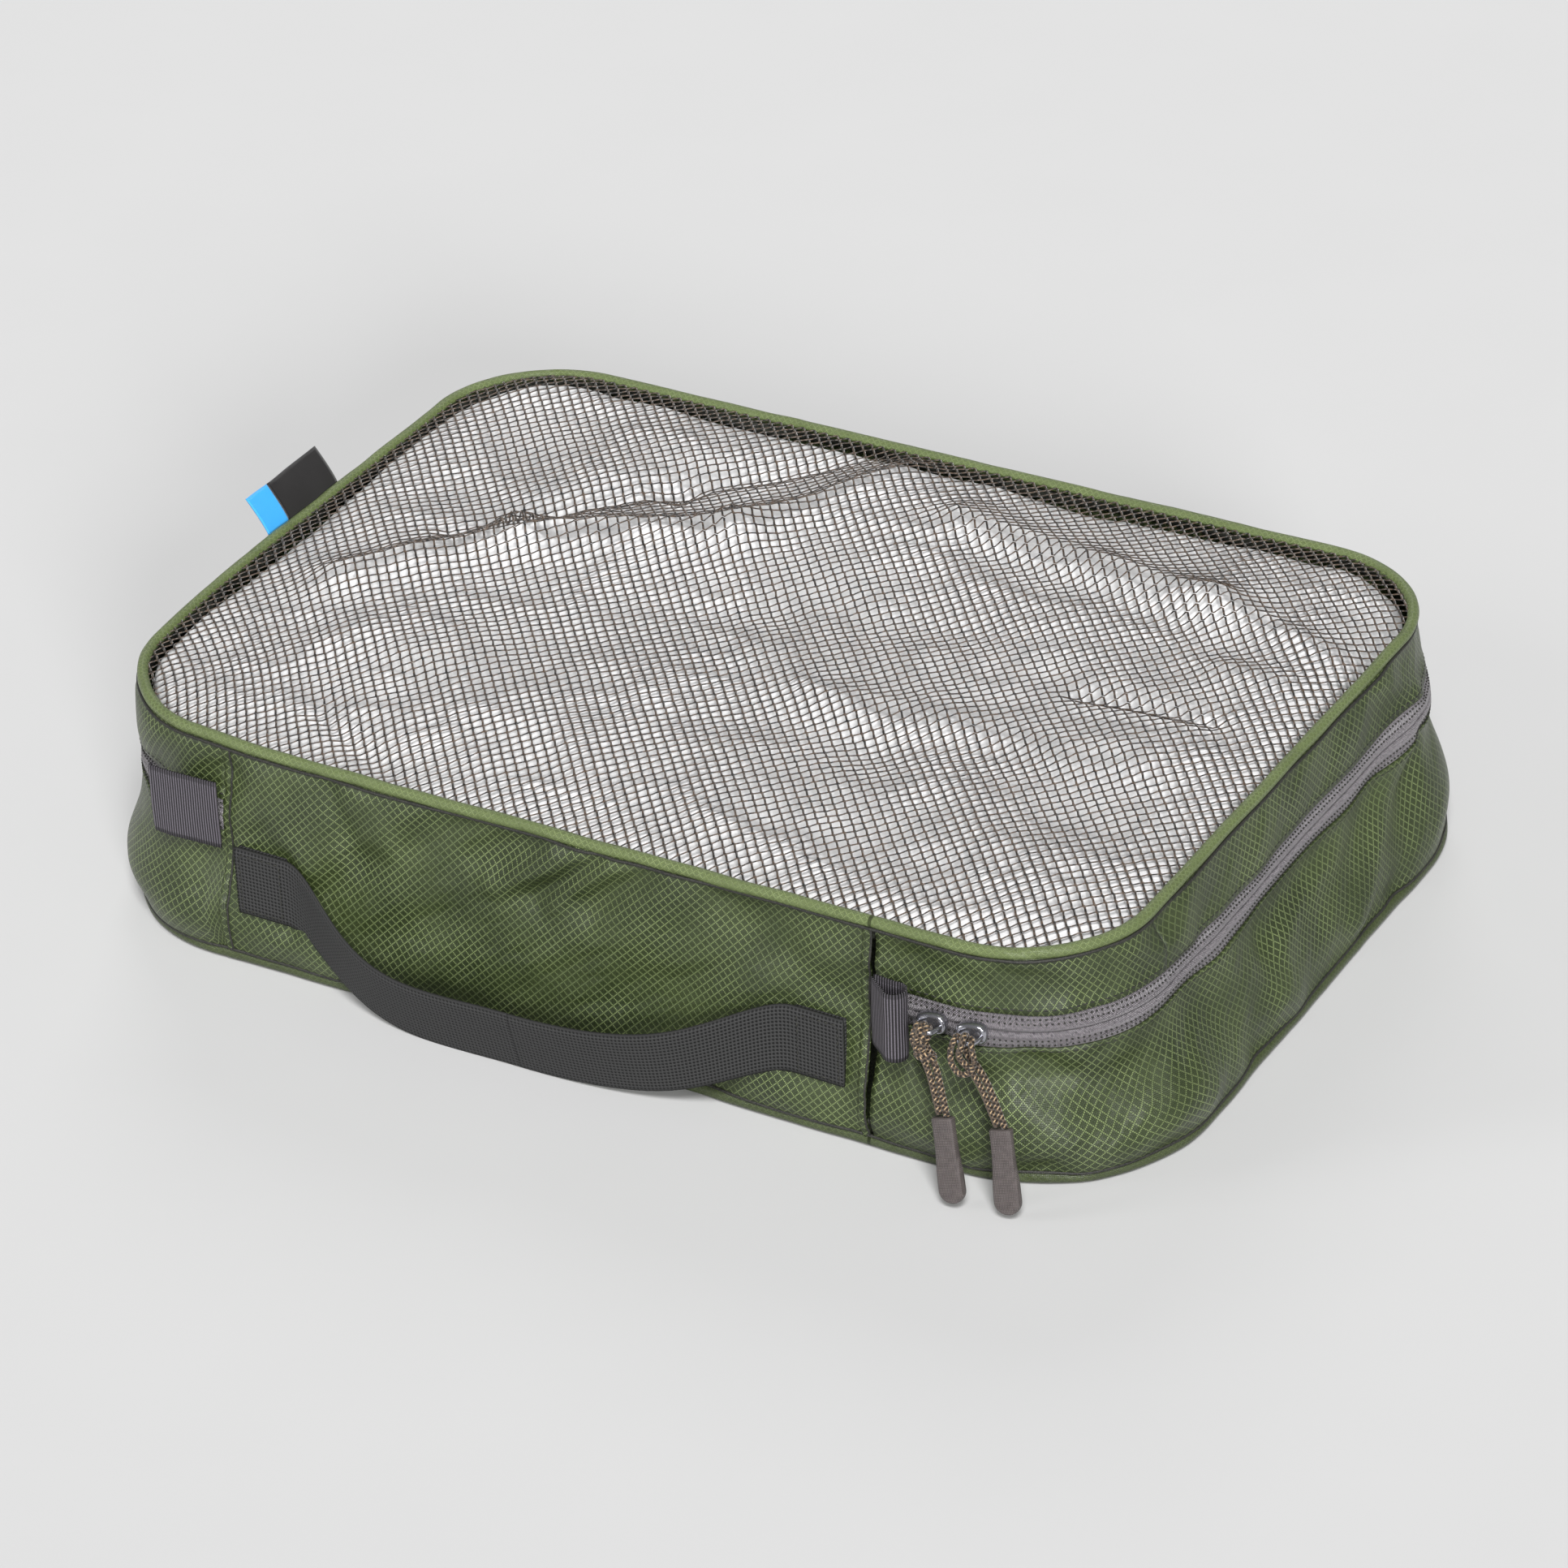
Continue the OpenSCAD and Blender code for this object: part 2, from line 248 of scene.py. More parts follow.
def noise(x, y, size, seed):
    """Value noise from -1 to 1 with bumps about `size` mm apart."""
    lattice = np.random.default_rng(seed).uniform(-1, 1, (64, 64))
    x, y = np.broadcast_arrays(x / size, y / size)
    i, j = np.floor(x).astype(int), np.floor(y).astype(int)
    fx, fy = eased(x - i), eased(y - j)
    a, b = lattice[i % 64, j % 64], lattice[(i + 1) % 64, j % 64]
    c, d = lattice[i % 64, (j + 1) % 64], lattice[(i + 1) % 64, (j + 1) % 64]
    return (a * (1 - fx) + b * fx) * (1 - fy) + (c * (1 - fx) + d * fx) * fy


def fold(x, y, start, end, width, height, power=2.0):
    """A ridge: height exp(-(d / width)^power), d being the distance to the line start-end;
    a power near 1 makes a sharp crest."""
    (x0, y0), (x1, y1) = start, end
    dx, dy = x1 - x0, y1 - y0
    t = np.clip(((x - x0) * dx + (y - y0) * dy) / (dx * dx + dy * dy), 0, 1)
    gap = (x - x0 - t * dx) ** 2 + (y - y0 - t * dy) ** 2
    return height * np.exp(-(gap / width**2) ** (power / 2))


def folds(x, y, rows):
    """The sum of several folds, each row being start, end, width and height."""
    return sum(fold(x, y, *row) for row in rows)


# %% [markdown]
# ## The case's side as one function
# The case is a rounded rectangle that grows and leans towards its base. One way is to model
# each wall apart, but then the corners never quite meet. Here a point on the side is found
# from how far round it is and how high it is, so cloth, zip, stitches and welts agree.

# %% Outline of the case
rim_low, rim_high = (np.array(v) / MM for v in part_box("top_piping"))
base_low, base_high = (np.array(v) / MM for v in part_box("bottom_piping"))
RIM_Z = (rim_low[2] + rim_high[2]) / 2
BASE_Z = (base_low[2] + base_high[2]) / 2
RIM_WELT, BASE_WELT = RIM_Z - rim_low[2], BASE_Z - base_low[2]
RIM_R, BASE_R = 46.3, 57.7
SEAM_RIGHT, SEAM_LEFT = 115.0, -128.0
ZIP_Z, TAPE = 54.0, 6.0
WALL_IN = -1.1


def case_at(z):
    """Half length, half width, corner radius and lean of the case at height z."""
    t = (z - BASE_Z) / (RIM_Z - BASE_Z)
    size = (base_high - base_low) * (1 - t[..., None]) + (rim_high - rim_low) * t[..., None]
    radius = BASE_R + (RIM_R - BASE_R) * t
    lean = (base_high[0] + base_low[0]) / 2 * (1 - t)
    return size[..., 0] / 2, size[..., 1] / 2, radius, lean


# Ten runs: seam, corner, right, corner, back, corner, left, corner, seam, front panel
SIGN_X = np.array([0, 1, 1, 1, 1, -1, -1, -1, -1, 0, 0])
SIGN_Y = np.array([-1, -1, -1, 1, 1, 1, 1, -1, -1, -1, -1])
ANGLE = np.radians([-90, -90, 0, 0, 90, 90, 180, 180, 270, 270, 270])


def run_ends():
    """How far round each run ends, in mm along the zip's height."""
    half_l, half_w, radius, lean = (float(v) for v in case_at(np.array(ZIP_Z)))
    x, y, arc = half_l - radius, half_w - radius, radius * math.pi / 2
    lengths = [lean + x - SEAM_RIGHT, arc, 2 * y, arc, 2 * x, arc, 2 * y, arc,
               SEAM_LEFT - lean + x, SEAM_RIGHT - SEAM_LEFT]
    return np.concatenate([[0], np.cumsum(lengths)])


U = run_ends()
LEFT_SEAM_U, ROUND = U[9], U[10]


def side(u, z, out=0.0):
    """Point on the case: corner centre + (radius + out)(cos a, sin a). On a straight run the
    centre slides from one corner's to the next and a stays; on a corner a turns instead."""
    u, z, out = np.broadcast_arrays(np.asarray(u, float), np.asarray(z, float), out)
    k = np.clip(np.searchsorted(U, u, side="right") - 1, 0, 9)
    f = (u - U[k]) / (U[k + 1] - U[k])
    half_l, half_w, radius, lean = case_at(z)
    reach = half_l - radius
    right, left = (SEAM_RIGHT - lean) / reach, (SEAM_LEFT - lean) / reach
    first = np.where(k == 0, right, np.where(k == 9, left, SIGN_X[k]))
    last = np.where(k == 8, left, np.where(k == 9, right, SIGN_X[k + 1]))
    a = ANGLE[k] + (ANGLE[k + 1] - ANGLE[k]) * f
    x = lean + (first + (last - first) * f) * reach
    y = (SIGN_Y[k] + (SIGN_Y[k + 1] - SIGN_Y[k]) * f) * (half_w - radius)
    r = radius + out + sag(u, z)
    return pulled(np.stack([x + r * np.cos(a), y + r * np.sin(a), z], -1))


def front_u(x):
    """How far round a place on the front is, from its x."""
    if x > SEAM_RIGHT:
        return x - SEAM_RIGHT
    return LEFT_SEAM_U + x - SEAM_LEFT


def right_u(y):
    """How far round a place on the right side is, from its y."""
    return (U[2] + U[3]) / 2 + y


# %% [markdown]
# ## How the soft case sags
# Nothing stiff holds the walls. The front left corner of the rim is drawn in, the cloth puffs
# between its seams, creases hang from the corners, and the seams pucker where the thread is
# tight. Under the handle's anchors there are no folds. All of it is one function of place,
# added to every piece on the side.

# %% Sag of the walls
PULL_CORNER = np.array([-172.0, -122.0])
MOST_DRAPE = 3.4
WEB_W, ANCHOR_Z = 25.0, 33.0
ANCHOR_LEFT, ANCHOR_RIGHT = (-122.0, -103.0), (88.0, 106.0)
CREASES = [
    (("front", -86, 79), ("front", -76, 52), 5.0, -1.7),
    (("front", -70, 78), ("front", -62, 58), 4.0, 0.9),
    (("front", -118, 76), ("front", -96, 44), 6.0, 1.0),
    (("front", 10, 79), ("front", -24, 56), 3.6, 1.3),
    (("front", 24, 79), ("front", 0, 56), 3.6, 1.2),
    (("front", -4, 78), ("front", -32, 64), 4.0, -1.0),
    (("front", 17, 78), ("front", -10, 56), 3.2, -1.2),
    (("front", 36, 78), ("front", 12, 58), 5.0, -1.1),
    (("front", 60, 76), ("front", 108, 50), 7.0, -1.3),
    (("front", 70, 60), ("front", 30, 22), 12.0, -1.4),
    (("front", 122, 72), ("front", 175, 68), 5.0, -1.3),
    (("front", 140, 38), ("front", 205, 30), 7.0, -1.8),
    (("front", 135, 20), ("front", 225, 16), 9.0, 1.6),
    (("front", 84, 12), ("front", 112, 40), 6.0, 0.9),
    (("front", -120, 20), ("front", -60, 8), 7.0, 0.8),
    (("front", 150, 46), ("front", 180, 8), 6.0, 1.3),
    (("front", 168, 46), ("front", 200, 14), 5.0, -1.2),
    (("front", 122, 44), ("front", 146, 10), 6.0, 0.9),
    (("front", 160, 76), ("front", 190, 64), 4.5, -1.0),
    (("front", 205, 76), ("front", 240, 62), 5.0, 1.1),
    (("right", 86, 48), ("right", 30, 14), 7.0, 1.5),
    (("right", 92, 46), ("right", 62, 8), 6.0, -1.5),
    (("right", 84, 50), ("right", -20, 30), 6.0, 1.2),
    (("right", 60, 44), ("right", -30, 38), 5.0, -1.0),
    (("right", -60, 44), ("right", -20, 10), 8.0, 1.1),
    (("right", -80, 40), ("right", -50, 8), 6.0, -0.9),
    (("right", 70, 78), ("right", 96, 60), 5.0, 1.3),
]


def crease_place(place):
    """Distance round and height of a crease's end, from its wall and its place on it."""
    wall, along, z = place
    if wall == "right":
        return right_u(along), z
    if along > SEAM_RIGHT:
        return along - SEAM_RIGHT, z
    return front_u(along), z


CREASE_ROWS = [(crease_place(a), crease_place(b), w, h) for a, b, w, h in CREASES]


def sewn_down(u, z):
    """1 where a handle anchor is sewn on, which stops the folds, and 0 from 8 mm outside it."""
    held = 0.0
    for x0, x1 in (ANCHOR_LEFT, ANCHOR_RIGHT):
        beside = np.maximum(np.abs(u - front_u((x0 + x1) / 2)) - (x1 - x0) / 2, 0)
        above = np.maximum(np.abs(z - ANCHOR_Z) - WEB_W / 2, 0)
        held = held + eased(1 - np.hypot(beside, above) / 8)
    return held


def sag(u, z):
    """Outward movement in mm: puff between seams + skirt + creases + slow and streaked noise."""
    u, z = np.asarray(u, float), np.asarray(z, float)
    below = eased((ZIP_Z - TAPE - z) / 6) * np.sin(math.pi * np.clip(z / (ZIP_Z - TAPE), 0, 1))
    above = np.sin(math.pi * np.clip((z - ZIP_Z - TAPE) / (RIM_Z - ZIP_Z - TAPE), 0, 1))
    panel = eased((u - LEFT_SEAM_U) / 8) * eased((ROUND - u) / 8)
    puff = (1.8 * below + 0.9 * above) * (1 - panel)
    puff += panel * 1.2 * np.sin(math.pi * np.clip(z / RIM_Z, 0, 1))
    skirt = 2.2 * np.exp(-((z - 15) / 9) ** 2) - 2.2 * np.exp(-((z - 38) / 9) ** 2)
    free = eased(z / 8) * eased((RIM_Z - z) / 6)
    loose = free * (1 - 0.7 * np.exp(-((z - ZIP_Z) / 7) ** 2) * (1 - panel))
    loose = loose * (1 - sewn_down(u, z))
    drape = 2.0 * folds(u, z, CREASE_ROWS) + 1.3 * noise(u + 0.7 * z, z, 36, 3)
    drape += 2.0 * noise(0.57 * u - 0.82 * z, (0.82 * u + 0.57 * z) / 3, 12, 5)
    drape = MOST_DRAPE * np.tanh(drape / MOST_DRAPE)
    tight = np.exp(-(u / 6) ** 2) + np.exp(-((u - LEFT_SEAM_U) / 6) ** 2)
    tight += np.exp(-((u - ROUND) / 6) ** 2)
    pucker = 0.6 * tight * noise(z * 2, z, 9, 8) * free
    corner = np.exp(-((u - (U[7] + U[8]) / 2) / 38) ** 2)
    tuck = corner * (2.4 * np.exp(-((z - 14) / 12) ** 2) - 1.6 * np.exp(-((z - 52) / 12) ** 2))
    far = np.exp(-((u - U[3]) / 26) ** 2) * 2.2 * np.exp(-((z - ZIP_Z) / 9) ** 2)
    return puff + skirt * (1 - 0.6 * panel) + loose * drape + pucker + tuck + far


def pulled(points):
    """The front left rim corner drawn in towards the middle, less and less down the wall."""
    away = (points[..., :2] - PULL_CORNER) / 45
    amount = 7.5 * np.exp(-(away**2).sum(-1)) * eased((points[..., 2] - 36) / 42)
    moved = points.copy()
    moved[..., 0] += amount * 0.72
    moved[..., 1] += amount * 0.69
    return moved


def side_out(u):
    """Level direction out of the case at a distance round."""
    k = np.clip(np.searchsorted(U, u, side="right") - 1, 0, 9)
    a = ANGLE[k] + (ANGLE[k + 1] - ANGLE[k]) * (u - U[k]) / (U[k + 1] - U[k])
    return np.stack([np.cos(a), np.sin(a), np.zeros_like(a)], -1)


print("round the case:", round(ROUND), "mm, of which zip:", round(LEFT_SEAM_U), "mm")

# %% [markdown]
# ## Writing shaders as sums
# A node tree can be wired by hand, one socket at a time. A small class that wraps a socket
# and knows + - * / makes the same nodes from a line that reads like arithmetic. Another call
# makes any other node: its type, its settings, then what goes into it.

# %% Shader helpers
class Wire:
    """One number in a material; arithmetic on it adds Math nodes."""

    def __init__(self, paint, socket):
        self.paint, self.socket = paint, socket

    def math(self, operation, *values):
        node = self.paint.node("ShaderNodeMath", {"operation": operation},
                               dict(enumerate(values)))
        return Wire(self.paint, node.outputs[0])

    def __add__(self, other):
        return self.math("ADD", self, other)

    def __sub__(self, other):
        return self.math("SUBTRACT", self, other)

    def __rsub__(self, other):
        return self.math("SUBTRACT", other, self)

    def __mul__(self, other):
        return self.math("MULTIPLY", self, other)

    def __truediv__(self, other):
        return self.math("DIVIDE", self, other)

    __radd__, __rmul__ = __add__, __mul__

    def below(self, other):
        return self.math("LESS_THAN", self, other)

    def part(self):
        return self.math("FRACT", self)

    def floor(self):
        return self.math("FLOOR", self)

    def wave(self):
        return self.math("SINE", self * (2 * math.pi)) * 0.5 + 0.5

    def size(self):
        return self.math("ABSOLUTE", self)

    def power(self, exponent):
        return self.math("POWER", self, exponent)

    def between(self, low, high):
        node = self.paint.node("ShaderNodeMapRange", {"interpolation_type": "SMOOTHSTEP"},
                               {"Value": self, "From Min": low, "From Max": high})
        return Wire(self.paint, node.outputs[0])


class Paint:
    """A material with a Principled shader, and short calls for its other nodes."""

    def __init__(self, name):
        self.material = bpy.data.materials.new(name)
        self.material.use_nodes = True
        self.tree = self.material.node_tree
        self.shader = self.tree.nodes["Principled BSDF"]

    def node(self, kind, settings, sockets):
        node = self.tree.nodes.new(kind)
        for key, value in settings.items():
            setattr(node, key, value)
        for key, value in sockets.items():
            self.put(node.inputs[key], value)
        return node

    def put(self, socket, value):
        if isinstance(value, Wire):
            self.tree.links.new(value.socket, socket)
        else:
            socket.default_value = value

    def cloth(self):
        """The piece's own cloth map, in mm: along and across."""
        source = self.node("ShaderNodeUVMap", {"uv_map": "cloth"}, {})
        return self.split(source.outputs[0])[:2]

    def place(self):
        """Object coordinates, in mm."""
        source = self.node("ShaderNodeTexCoord", {}, {})
        return [v * (1 / MM) for v in self.split(source.outputs["Object"])]

    def split(self, socket):
        node = self.node("ShaderNodeSeparateXYZ", {}, {0: Wire(self, socket)})
        return [Wire(self, o) for o in node.outputs]

    def mottle(self, x, y, size, detail=2.0, z=0.0):
        """Noise from 0 to 1 with marks about `size` mm across."""
        spot = self.node("ShaderNodeCombineXYZ", {}, {0: x, 1: y, 2: z})
        node = self.node("ShaderNodeTexNoise", {},
                         {"Vector": Wire(self, spot.outputs[0]), "Scale": 1 / size,
                          "Detail": detail})
        return Wire(self, node.outputs["Fac"])

    def mix(self, factor, first, second):
        """Colour first where factor is 0, second where it is 1."""
        first, second = (v if isinstance(v, Wire) else (*v, 1.0) for v in (first, second))
        node = self.node("ShaderNodeMix", {"data_type": "RGBA"}, {0: factor, 6: first, 7: second})
        return Wire(self, node.outputs[2])

    def bump(self, height, depth):
        """Bump from a height of 0 to 1 that stands `depth` mm."""
        node = self.node("ShaderNodeBump", {}, {"Strength": 1.0, "Distance": depth * MM,
                                                "Height": height})
        self.put(self.shader.inputs["Normal"], Wire(self, node.outputs[0]))

    def finish(self, colour, rough, **fixed):
        """Sets the shader's colour and roughness, and any constant by its socket's name."""
        if not isinstance(colour, Wire):
            colour = (*colour, 1.0)
        self.put(self.shader.inputs["Base Color"], colour)
        self.put(self.shader.inputs["Roughness"], rough)
        for key, value in fixed.items():
            self.put(self.shader.inputs[key.replace("_", " ")], value)
        return self.material


def dye(r, g, b):
    """A colour given in screen values 0 to 255, as the linear light that shaders use."""
    return tuple(round(((c / 255 + 0.055) / 1.055) ** 2.4, 5) for c in (r, g, b))


# %% [markdown]
# ## Ripstop
# Ripstop is a thin nylon with heavier yarns woven in as a grid, here in pale steps that cross
# as diamonds over a dark satin ground. A picture would blur close up. Instead the shader
# counts yarns: the cloth map is cut into yarns, and two slanted counts of them make diamonds.

# %% Ripstop
YARN = 0.4
DIAMOND = 3.2


def ripstop(name, ground, grid, sheen, cell=DIAMOND):
    """Pale where the stepped sums or differences of yarn counts pass a whole diamond, more so in
    noise patches of painted glint; other noise patches mix in a painted sheen colour.
    """
    p = Paint(name)
    u, v = p.cloth()
    step_u, step_v = (u / YARN).floor() * YARN, (v / YARN).floor() * YARN
    rising = ((step_u + step_v + YARN / 4) / cell).part().below(YARN / cell * 0.9)
    falling = ((step_u - step_v + YARN / 4) / cell).part().below(YARN / cell * 0.9)
    lines = rising.math("MAXIMUM", rising, falling)
    yarns = (u / YARN).wave() * (v / YARN).wave()
    dust = p.mottle(u, v, 0.7, 3.0)
    sheen_and_rough_patches = p.mottle(u, v, 26.0, 3.0)
    base = p.mix(dust.between(0.3, 0.7), tuple(c * 0.72 for c in ground), ground)
    # Painted sheen: a lighter sheen colour is mixed into the ground in broad noise patches; the
    # same patches also raise the roughness.
    base = p.mix(sheen_and_rough_patches.between(0.3, 0.8) * 0.2, base, sheen)
    # The grid lines are the cloth's own pattern; their strength rising in 20 mm noise patches is
    # a painted glint.
    strength = 0.28 + 0.4 * p.mottle(u, v, 20.0, 2.0).between(0.25, 0.75)
    colour = p.mix(lines * strength, base, grid)
    creases = p.mottle(u * 0.57 - v * 0.82, (u * 0.82 + v * 0.57) * 0.3, 9.0, 3.0)
    p.bump(creases * 0.9 + lines * 0.06 + yarns * 0.04, 2.6)
    return p.finish(colour, 0.32 - 0.06 * lines + 0.08 * sheen_and_rough_patches, Specular_IOR_Level=0.5)


CASE_CLOTH = ripstop("case_ripstop", dye(38, 49, 19), dye(146, 162, 106), dye(92, 106, 60))
BASE_CLOTH = ripstop("base_ripstop", dye(60, 72, 36), dye(120, 134, 84), dye(78, 90, 50))
# The rim welt's colours are lighter than the walls', partly its own cloth and partly a painted
# highlight along the round rim.
RIM_WELT_CLOTH = ripstop("rim_welt_cloth", dye(94, 108, 62), dye(140, 154, 102),
                         dye(116, 130, 82), 2.4)
BASE_WELT_CLOTH = ripstop("base_welt_cloth", dye(58, 68, 36), dye(90, 102, 60),
                          dye(74, 86, 48), 2.4)

# %% [markdown]
# ## Ribbons, tapes and webbing
# Grosgrain has fat ribs across its width, zip tape a fine rib along it, and webbing a deep
# check of crossing yarns with pits between. Each is a wave or a product of two waves on the
# cloth map, with a little noise so that no two yarns match.

# %% Ribbon, tape and webbing finishes
def grosgrain(name, dark, light, pitch=0.9, height=25.0):
    """Ribs across the ribbon, with painted light on their crests and painted shade between; the
    outer 1.6 mm of its height is a tighter selvedge.
    """
    p = Paint(name)
    u, v = p.cloth()
    rib = (u / pitch).wave()
    yarn = (v / 0.45).wave()
    edge = ((v / height - 0.5).size() * 2).between(0.86, 0.9)
    # Painted light and shade: each rib's crest takes the light colour and the groove between ribs
    # the dark one.
    face = p.mix(rib.power(1.4) * (0.7 + 0.3 * p.mottle(u, v, 0.8)), dark, light)
    colour = p.mix(edge * 0.5, face, dark)
    p.bump(rib * 0.8 + yarn * 0.2, 0.5)
    return p.finish(colour, 0.6, Specular_IOR_Level=0.4)


def zip_cloth():
    """Fine herringbone: a wave whose phase slants one way, then the other, in 1.5 mm bands."""
    p = Paint("zip_tape_cloth")
    u, v = p.cloth()
    slant = ((v / 3.0).part() - 0.5).size() * 3.0
    weave = ((u + slant) / 0.7).wave()
    spots = p.mottle(u, v, 0.6, 3.0)
    colour = p.mix(weave * spots.between(0.25, 0.7), dye(56, 52, 57), dye(178, 172, 176))
    p.bump(weave, 0.2)
    return p.finish(colour, 0.6, Sheen_Weight=0.2, Sheen_Roughness=0.4)


def webbing_cloth():
    """Crossing yarns: bright where two waves a quarter apart agree, with painted shade in the
    pits between.
    """
    p = Paint("handle_webbing")
    u, v = p.cloth()
    pitch = 1.35
    across, along = (v / pitch).wave(), (u / pitch).wave()
    pit = (1 - across) * (1 - along)
    rim = (v.size() / 12.5).between(0.9, 0.96)
    lit = 0.55 + 0.45 * p.mottle(u, v, 0.7, 3.0)
    # Painted shade: the pits between the crossing yarns are darkened nearly to black.
    colour = p.mix(pit.between(0.2, 0.6), dye(58, 58, 58), dye(10, 10, 10))
    colour = p.mix((1 - lit) * 0.8, colour, dye(28, 28, 29))
    colour = p.mix(rim * 0.6, colour, dye(36, 36, 36))
    p.bump(1 - pit, 0.5)
    return p.finish(colour, 0.72, Specular_IOR_Level=0.3)


RIBBON = grosgrain("ribbon_grosgrain", dye(10, 8, 12), dye(122, 116, 126), 0.95)
LOOP_RIBBON = grosgrain("loop_grosgrain", dye(6, 5, 7), dye(124, 118, 127), 0.95)
ZIP_CLOTH = zip_cloth()
WEBBING = webbing_cloth()

# %% [markdown]
# ## Threads, cords, net, paper and hard parts
# Small things are seen by their edges and glints more than by their pattern, so these
# finishes are plainer. The cord still shows its braid, and each grip its moulded grid.

# %% Small finishes
def spun(name, dark, light, rough=0.6, spot=0.5, **fixed):
    """Two shades mixed by fine noise, for thread, binding and net."""
    p = Paint(name)
    x, y, z = p.place()
    fleck = p.mottle(x, y, spot, 2.0, z).between(0.35, 0.65)
    p.bump(fleck, 0.08)
    return p.finish(p.mix(fleck, dark, light), rough, **fixed)


def braid():
    """Diamonds of three yarn colours: slanted counts along and round the cord."""
    p = Paint("pull_cord_braid")
    u, v = p.cloth()
    turn = 2 * math.pi * 1.1
    rising, falling = (u / 1.5 + v * (3 / turn)), (u / 1.5 - v * (3 / turn))
    plait = rising.wave() * 0.5 + falling.wave() * 0.5
    tan = (rising.floor() + falling.floor()).math("PINGPONG", rising.floor(), 1.0)
    colour = p.mix(plait.between(0.25, 0.75), dye(24, 18, 14), dye(86, 70, 54))
    colour = p.mix(tan * falling.wave().between(0.7, 0.95), colour, dye(168, 142, 108))
    p.bump(plait, 0.35)
    return p.finish(colour, 0.6, Sheen_Weight=0.2, Sheen_Roughness=0.4)


def moulded_grip():
    """Soft dark rubber with a fine square grid of 0.5 mm."""
    p = Paint("grip_rubber")
    u, v = p.cloth()
    grid = (u / 0.55).wave() * (v / 0.55).wave()
    dust = p.mottle(u, v, 2.0, 4.0)
    p.bump(grid, 0.3)
    return p.finish(p.mix(grid * 0.6 + dust * 0.4, dye(40, 35, 34), dye(136, 126, 124)), 0.5,
                    Specular_IOR_Level=0.5)


def paper():
    """Thin white tissue: light comes through a little, and fine creases catch it."""
    p = Paint("tissue_paper")
    x, y, z = p.place()
    cloud = p.mottle(x, y, 18.0, 5.0, z)
    fibre = p.mottle(x, y, 3.0, 6.0, z)
    p.bump(fibre, 0.5)
    return p.finish(p.mix(cloud, dye(236, 236, 237), dye(254, 253, 253)), 0.7,
                    Subsurface_Weight=0.2, Subsurface_Scale=0.004,
                    Subsurface_Radius=(1.0, 1.0, 1.0))


def plated(name, colour, rough):
    """Dark nickel with faint wear."""
    p = Paint(name)
    x, y, z = p.place()
    wear = p.mottle(x, y, 1.5, 4.0, z)
    p.bump(wear, 0.03)
    return p.finish(p.mix(wear, colour, tuple(c * 1.8 for c in colour)),
                    rough + 0.12 * wear, Metallic=0.9, Coat_Weight=0.4)


def satin(name, ground, light):
    """Smooth woven label: a very fine rib."""
    p = Paint(name)
    rib = (p.cloth()[1] / 0.3).wave()
    p.bump(rib, 0.06)
    return p.finish(p.mix(rib * 0.5, ground, light), 0.4, Sheen_Weight=0.2)


THREAD = spun("dark_thread", dye(20, 20, 18), dye(48, 48, 42), 0.6)
BINDING = spun("seam_binding_tape", dye(26, 27, 22), dye(50, 52, 42), 0.75, 0.6)
# The net yarn's tan shade, mixed in by fine noise, is a painted highlight on the dark brown yarn.
NET = spun("net_yarn", dye(12, 9, 8), dye(84, 68, 54), 0.4, 1.3, Sheen_Weight=0.3,
           Sheen_Roughness=0.3, Specular_IOR_Level=0.6)
TEETH = spun("zip_teeth_nylon", dye(52, 48, 54), dye(104, 99, 106), 0.35)
BRAID, RUBBER, PAPER = braid(), moulded_grip(), paper()
NICKEL = plated("black_nickel", dye(138, 138, 144), 0.12)
STOP_METAL = plated("stop_metal_finish", dye(60, 60, 62), 0.35)
LABEL_DARK = satin("label_dark_satin", dye(12, 9, 10), dye(30, 27, 28))
LABEL_BLUE = satin("label_blue_satin", dye(48, 164, 240), dye(74, 190, 252))


def dress(obj, material, slot, *nodes):
    """Gives a piece its finish and hides the CAD nodes that it stands for; its slot is not used.
    """
    obj.data.materials.clear()
    obj.data.materials.append(material)
    if nodes:
        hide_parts(*nodes)
    return obj


# %% [markdown]
# ## The pull cords
# Each slider is pulled by one thin braided cord that goes up from the grip, over the
# slider's bar and back down. A bezier curve with a bevel would do, but it cannot carry a
# cloth map for the braid, so the given route is smoothed and a ring swept along it.

# %% Cords over the slider bars
CORD_R = 1.1
BAR_OUT = 9.2
CORD_DROP = 25.0
PULL_SWING = math.radians(13)
LEFT_LEAN, LEFT_TILT = 10.0, -14.0
RIGHT_LEAN, RIGHT_TILT = 14.0, -10.0
SLIDER_LEFT_X = 137.3
SLIDER_RIGHT_TURN = math.radians(6.8)


def cord_route(lean):
    """The route's points from the bar, in mm: up one side, over, and down the other."""
    return np.array([
        (lean - 1.3, 0, -CORD_DROP), (0.6 * lean - 1.3, -0.3, -14), (0.3 * lean - 1.1, -1, -8),
        (-0.5, -2.1, -4), (0, -2.5, 0), (0, -1.8, 1.8), (0, 0, 2.5), (0, 1.8, 1.8),
        (0, 2.5, 0), (0.5, 2.1, -4), (0.3 * lean + 1.1, 1, -8), (0.6 * lean + 1.3, 0.3, -14),
        (lean + 1.3, 0, -CORD_DROP)])


def smoothed(points, per=6):
    """Catmull-Rom: cubic through the points, each slope half the step between neighbours."""
    p = np.vstack([2 * points[0] - points[1], points, 2 * points[-1] - points[-2]])
    t = (np.arange(per) / per)[None, :, None]
    a, b, c, d = (p[i:len(p) - 3 + i][:, None] for i in range(4))
    curve = 0.5 * (2 * b + (c - a) * t + (2 * a - 5 * b + 4 * c - d) * t**2
                   + (3 * b - a - 3 * c + d) * t**3)
    return np.vstack([curve.reshape(-1, 3), points[-1:]])


